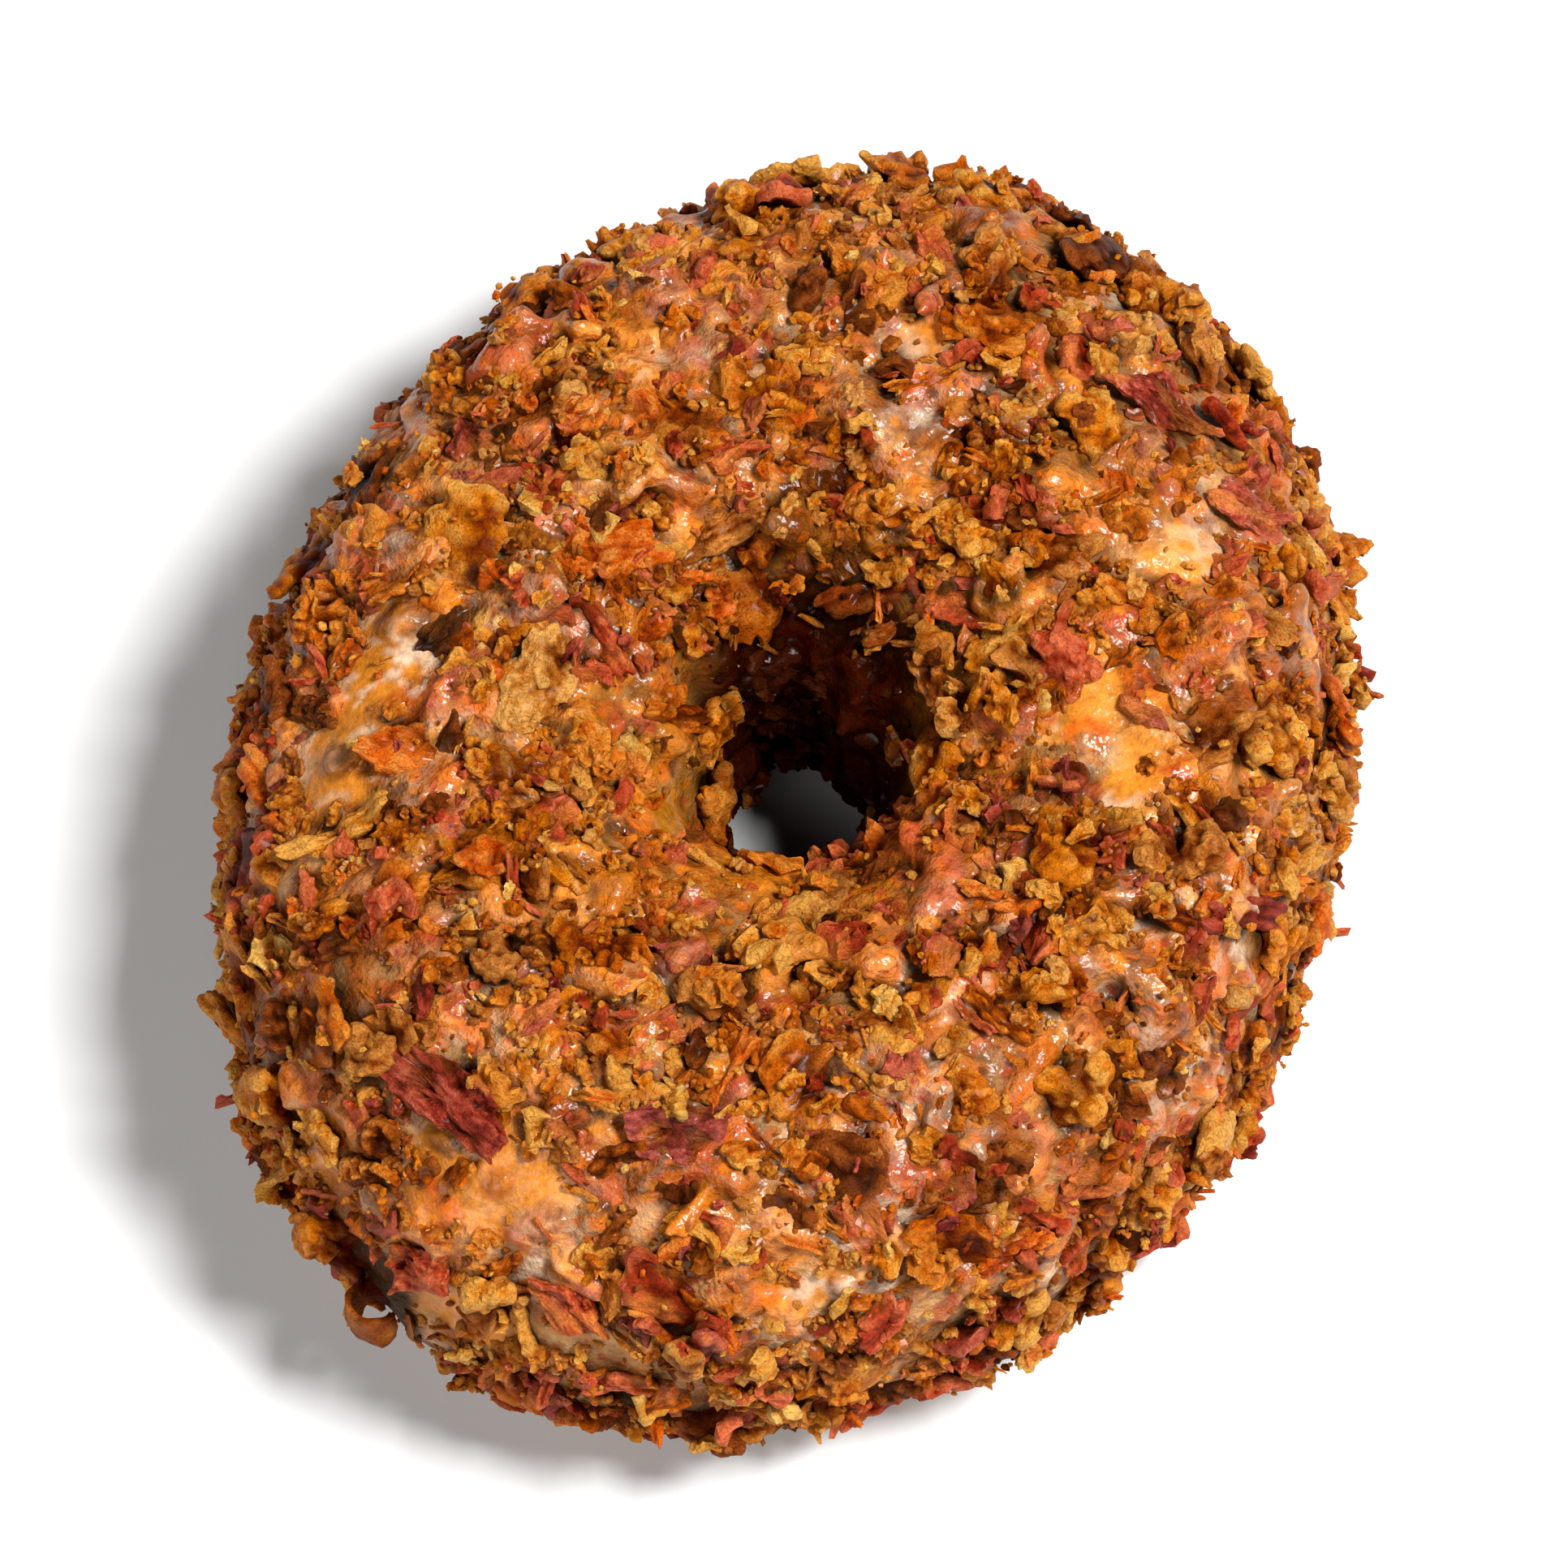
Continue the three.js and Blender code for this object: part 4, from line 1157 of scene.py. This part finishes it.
coated = [chip for chip in chips if chip["coated"]]
fused = [(coated, placed(coated, LARGE)), (sunk_bits, placed(sunk_bits, MEDIUM))]
bit_points = np.concatenate([shape["world"] for _, shape in fused])
bit_tones = np.concatenate([
    toned(column(group, "tone"), column(group, "light"))[shape["owner"]] for group, shape in fused
])
meshes = [icing_skin(), *((shape["world"], shape["faces"]) for _, shape in fused)]
starts = np.cumsum([0, *(len(p) for p, _ in meshes)])
points, faces, normals = through_modifiers(
    np.concatenate([p for p, _ in meshes]),
    np.concatenate([f + start for (_, f), start in zip(meshes, starts)]),
    ("REMESH", {"mode": "VOXEL", "voxel_size": ICING_VOXEL}),
    ("SMOOTH", {"factor": 0.5, "iterations": 2}),
)
ring, tube, above = dough_place(points)
used, faces = np.unique(faces[(above > DEEPEST_KEPT)[faces].any(1)], return_inverse=True)
faces = faces.reshape(-1, 3)
points, normals, ring, tube, above = points[used], normals[used], ring[used], tube[used], above[used]
points = np.clip(points, LOW, HIGH)
bulge = curvature(points, faces, normals)[:, None]
nearest, distance = nearest_bits(points, bit_points)
bare = sample(bare_share, ring, tube)[:, None]
cover = (1 - smooth(0.25, 0.75, distance))[:, None] * (0.62 + 0.35 * noise(points / 1.3, 62))[:, None]
colour = blend(glaze_colour(points, tube, bare), bit_tones[nearest], cover)
# Painted shade: the glaze goes towards near-black in crevices below the pile of chips and in hollows, and
# bulges are painted lighter; the fourth channel is lowered in the crevices too.
crevice_shade = smooth(0.0, 1.2, sample(pile_mean, ring, tube) - above)[:, None] * (1 - 0.8 * bare)
crevice_shade = np.clip(crevice_shade + 0.25 * np.clip(-bulge, 0, 1) * (1 - bare), 0, 1)
# painted shade on the walls of the hole, in the colour and in the fourth channel
lit = shade_in_throat(ring, tube, math.radians(-5) * (1 + np.cos(ring - FAR_WALL)))
colour = blend(colour * (1 + 0.14 * bulge), CREVICE_SHADE, 0.92 * crevice_shade) * lit
open_share = (1 - 0.8 * crevice_shade[:, 0]) * lit[:, 0] * low_sides(points)
icing = make_object("maple_icing", points, faces, colour, points, bare[:, 0], GLAZE, open_share=open_share)
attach(icing, "root")
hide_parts("icing_with_chips")

# The dough, with a paler band round its side
DOUGH_ROWS, DOUGH_COLUMNS = 200, 96
CRUST, PALE_CRUST = linear(176, 98, 40), linear(222, 166, 98)
BAND_HEIGHT, BAND_WIDTH = 8.5, 3.0
rows, columns = np.arange(DOUGH_ROWS) / DOUGH_ROWS * TURN, np.arange(DOUGH_COLUMNS) / DOUGH_COLUMNS * TURN
ring, tube = np.meshgrid(rows, columns, indexing="ij")
plain = round_point(ring, tube)
wrinkle = 0.12 * noise(plain / 1.6, 71) + 0.2 * noise(plain / 5.0, 72)
dough_points = plain + directions(ring, tube)[2] * (wrinkle - 0.25)[..., None]
dough_points[..., 2] = np.maximum(dough_points[..., 2], 0)
dough_points = dough_points.reshape(-1, 3)
band = np.exp(-(((plain[..., 2] - BAND_HEIGHT) / BAND_WIDTH) ** 2)) * (0.75 + 0.25 * noise(plain / 6.0, 73))
dough_colour = blend(CRUST, PALE_CRUST, 0.8 * band.reshape(-1, 1))
dough = make_object(
    "fried_dough_ring", dough_points, tube_faces(DOUGH_ROWS, DOUGH_COLUMNS), dough_colour, dough_points,
    np.zeros(len(dough_points)), DOUGH,
)
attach(dough, "root")
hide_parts("dough_ring")

# The bacon
CREASE = math.radians(38)
MARBLING, VEIL = linear(216, 124, 50), linear(188, 110, 38)
# painted shade for the chips deep in the pile
DEEP_PILE_SHADE = np.array([0.19, 0.055, 0.012])  # what is left of each colour deep in the pile


def add_chips(name, group, level, material, replaces=()):
    """One piece of many chips, each with its tone, painted shade deep in the pile and in the hole, and
    coated near the icing.
    """
    shape = placed(group, level)
    owner, local = shape["owner"], shape["local"]
    world = np.clip(shape["world"], LOW, HIGH)
    ring, tube, above = dough_place(world)
    proud = above - sample(pile_mean, ring, tube)
    seed, names = column(group, "seed"), column(group, "tone")[owner]

    veins = noise(local * np.array([0.14, 0.6, 0.6]) + 9, 81)
    # Lightness: the tone's own spread, with painted light and shade: rims lighter on most chips, a painted
    # glow of thin edges, and darker on the rest; bulging points and chips that stand proud of the pile
    # lighter, hollows darker.
    rim = smooth(0.7, 1.1, shape["edge"]) * np.where(seed % 5 < 3, 1.0, -1.2)[owner]
    lightness = 0.7 * shape["bulge"] + 0.7 * veins + 0.6 * noise(local * 1.3, 82) + 0.35 * rim
    lightness = lightness + column(group, "light")[owner] + 0.6 * noise(world / 6.0, 64)
    lightness = lightness + 0.45 * smooth(0.0, 1.8, proud) - 0.12
    colour = toned(names, lightness)

    marbling = noise(local * np.array([0.16, 0.5, 0.5]) + 31, 84) + 0.25 * noise(local * 1.4, 85)
    marbling = 0.65 * (smooth(0.12, 0.5, marbling) * np.isin(names, list(LEAN)))[:, None]
    colour = blend(colour, MARBLING * (1 + 0.25 * np.clip(lightness, -1, 1))[:, None], marbling)
    sunk = (1 - smooth(-0.2, 1.2, above - sample(icing_height, ring, tube)))[:, None]
    colour = blend(colour, VEIL, sunk * np.clip(0.4 + 0.6 * noise(world / 1.5, 83), 0, 0.8)[:, None])
    # Painted shade: chips darken deep in the pile, and their fourth channel is lowered there too.
    pile_shade = smooth(-0.3, 1.1, -proud)[:, None]
    colour = colour * (1 - pile_shade * (1 - DEEP_PILE_SHADE))
    # painted shade on the walls of the hole, starting a little sooner or later for each chip
    deeper = np.where(column(group, "long") > 1.5, seed % 13 * 1.6 - 4.0, -14.0)
    colour = colour * shade_in_throat(ring, tube, np.radians(deeper)[owner])

    shown = (1 - 0.85 * pile_shade[:, 0]) * low_sides(world)
    made = make_object(name, world, shape["faces"], colour, local, sunk[:, 0], material, CREASE, shown)
    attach(made, "root")
    if replaces:
        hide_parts(*replaces)


def fits(group, margin):
    """The chips whose middles are at least their length times a margin inside the solids' box."""
    centre = chip_basis(group)[0]
    inset = column(group, "long")[:, None] * margin
    keep = ((centre > LOW + inset) & (centre < HIGH - inset)).all(1)
    return [chip for chip, kept in zip(group, keep) if kept]


def add_kinds(prefix, group, level):
    """A piece for lean meat, and one for each kind of fat chip."""
    lean = [chip for chip in group if chip["tone"] in LEAN]
    fat = [chip for chip in group if chip["tone"] not in LEAN]
    add_chips(prefix + "_lean", lean, level, LEAN_MEAT)
    for kind in ("flake", "strip", "lump"):
        add_chips(prefix + "_fat_" + kind, [chip for chip in fat if chip["kind"] == kind], level, FAT)


crisp = [chip for chip in chips if not chip["coated"]] + small_pieces
add_kinds("bacon_chips", crisp, LARGE)
add_kinds("bacon_bits", fits(medium, 0.3), MEDIUM)
add_kinds("bacon_fines", fits(small, 0.3), SMALL)

random = np.random.default_rng(5)
crumb_points, crumb_faces = ball(1, 0.5)
crumb_bulge = np.full(len(crumb_points), 0.3)
crumb_models = [
    dict(points=crumb_points * random.uniform(0.7, 1.15, (12, 1)), faces=crumb_faces, bulge=crumb_bulge)
    for _ in range(12)
]
for crumb in crumbs:
    crumb["model"] = crumb_models[crumb["seed"] % len(crumb_models)]
add_chips("bacon_crumbs", fits(crumbs, 0.5), SMALL, FAT)

for number, ((name, row), piece) in enumerate(zip(LARGE_PIECES.items(), large_pieces)):
    tone, kind = row[:2]
    piece.update(tone=tone, light=0.6 if tone in ("gold", "tan") else 0.0, ripple=0.22)
    box = (piece["long"], piece["wide"], piece["thick"])
    piece["model"] = model_chip(kind, 7000 + number, box, (SINGLE_TRIANGLES,))[0]
    material = LEAN_MEAT if kind == "lean" or tone in LEAN else FAT
    add_chips("bacon_piece_" + name, [piece], LARGE, material, ("bacon_" + name,))

# Floor, light and camera, in metres
AZIMUTH, ELEVATION, DISTANCE = math.radians(23.5), math.radians(70), 0.48
SENSOR, LENS = 36, 143.1
FLOOR_HALF, FLOOR_COLOUR, FLOOR_ROUGHNESS = 1.5, (0.8, 0.8, 0.79, 1), 0.7
SKY, KEY_SIZE, KEY_POWER, FILL_SIZE, FILL_POWER = 0.018, 0.2, 8.9, 0.6, 3.6
LIT_POINT = np.array([0, 0, 0.02])
back = np.array([
    math.sin(AZIMUTH) * math.cos(ELEVATION), -math.cos(AZIMUTH) * math.cos(ELEVATION), math.sin(ELEVATION),
])
right = np.array([math.cos(AZIMUTH), math.sin(AZIMUTH), 0])
ground_up = np.array([-math.sin(AZIMUTH), math.cos(AZIMUTH), 0])
aim = np.array([0, 0, 0.016]) - right * 0.00081 - np.cross(back, right) * 0.00044

floor_mesh = bpy.data.meshes.new("floor")
corners = [(x * FLOOR_HALF, y * FLOOR_HALF, 0) for x, y in ((-1, -1), (1, -1), (1, 1), (-1, 1))]
floor_mesh.from_pydata(corners, [], [(0, 1, 2, 3)])
floor = linked("floor", floor_mesh)
floor_mesh.materials.append(
    Shading("pale_floor").finished({"Base Color": FLOOR_COLOUR, "Roughness": FLOOR_ROUGHNESS})
)

studio = bpy.data.worlds.new("studio")
bpy.context.scene.world = studio
studio.use_nodes = True
studio.node_tree.nodes["Background"].inputs["Color"].default_value = (1, 1, 1, 1)
studio.node_tree.nodes["Background"].inputs["Strength"].default_value = SKY


def area_light(name, place, size, power):
    """A square light that faces the doughnut."""
    light = bpy.data.lights.new(name, "AREA")
    light.size = size
    light.energy = power
    lamp = linked(name, light)
    lamp.location = place
    lamp.rotation_mode = "QUATERNION"
    lamp.rotation_quaternion = Vector(LIT_POINT - place).to_track_quat("-Z", "Y")


area_light("key", right * 0.36 + ground_up * -0.02 + np.array([0, 0, 0.68]), KEY_SIZE, KEY_POWER)
area_light("fill", right * -0.3 + ground_up * -0.5 + np.array([0, 0, 0.6]), FILL_SIZE, FILL_POWER)

camera_data = bpy.data.cameras.new("camera")
camera_data.sensor_width = SENSOR
camera_data.lens = LENS
camera_data.clip_start = 0.01
camera = linked("camera", camera_data)
camera.location = aim + back * DISTANCE
camera.rotation_mode = "QUATERNION"
camera.rotation_quaternion = Vector(back).to_track_quat("Z", "Y")
bpy.context.scene.camera = camera
bpy.context.scene.view_settings.view_transform = "Standard"
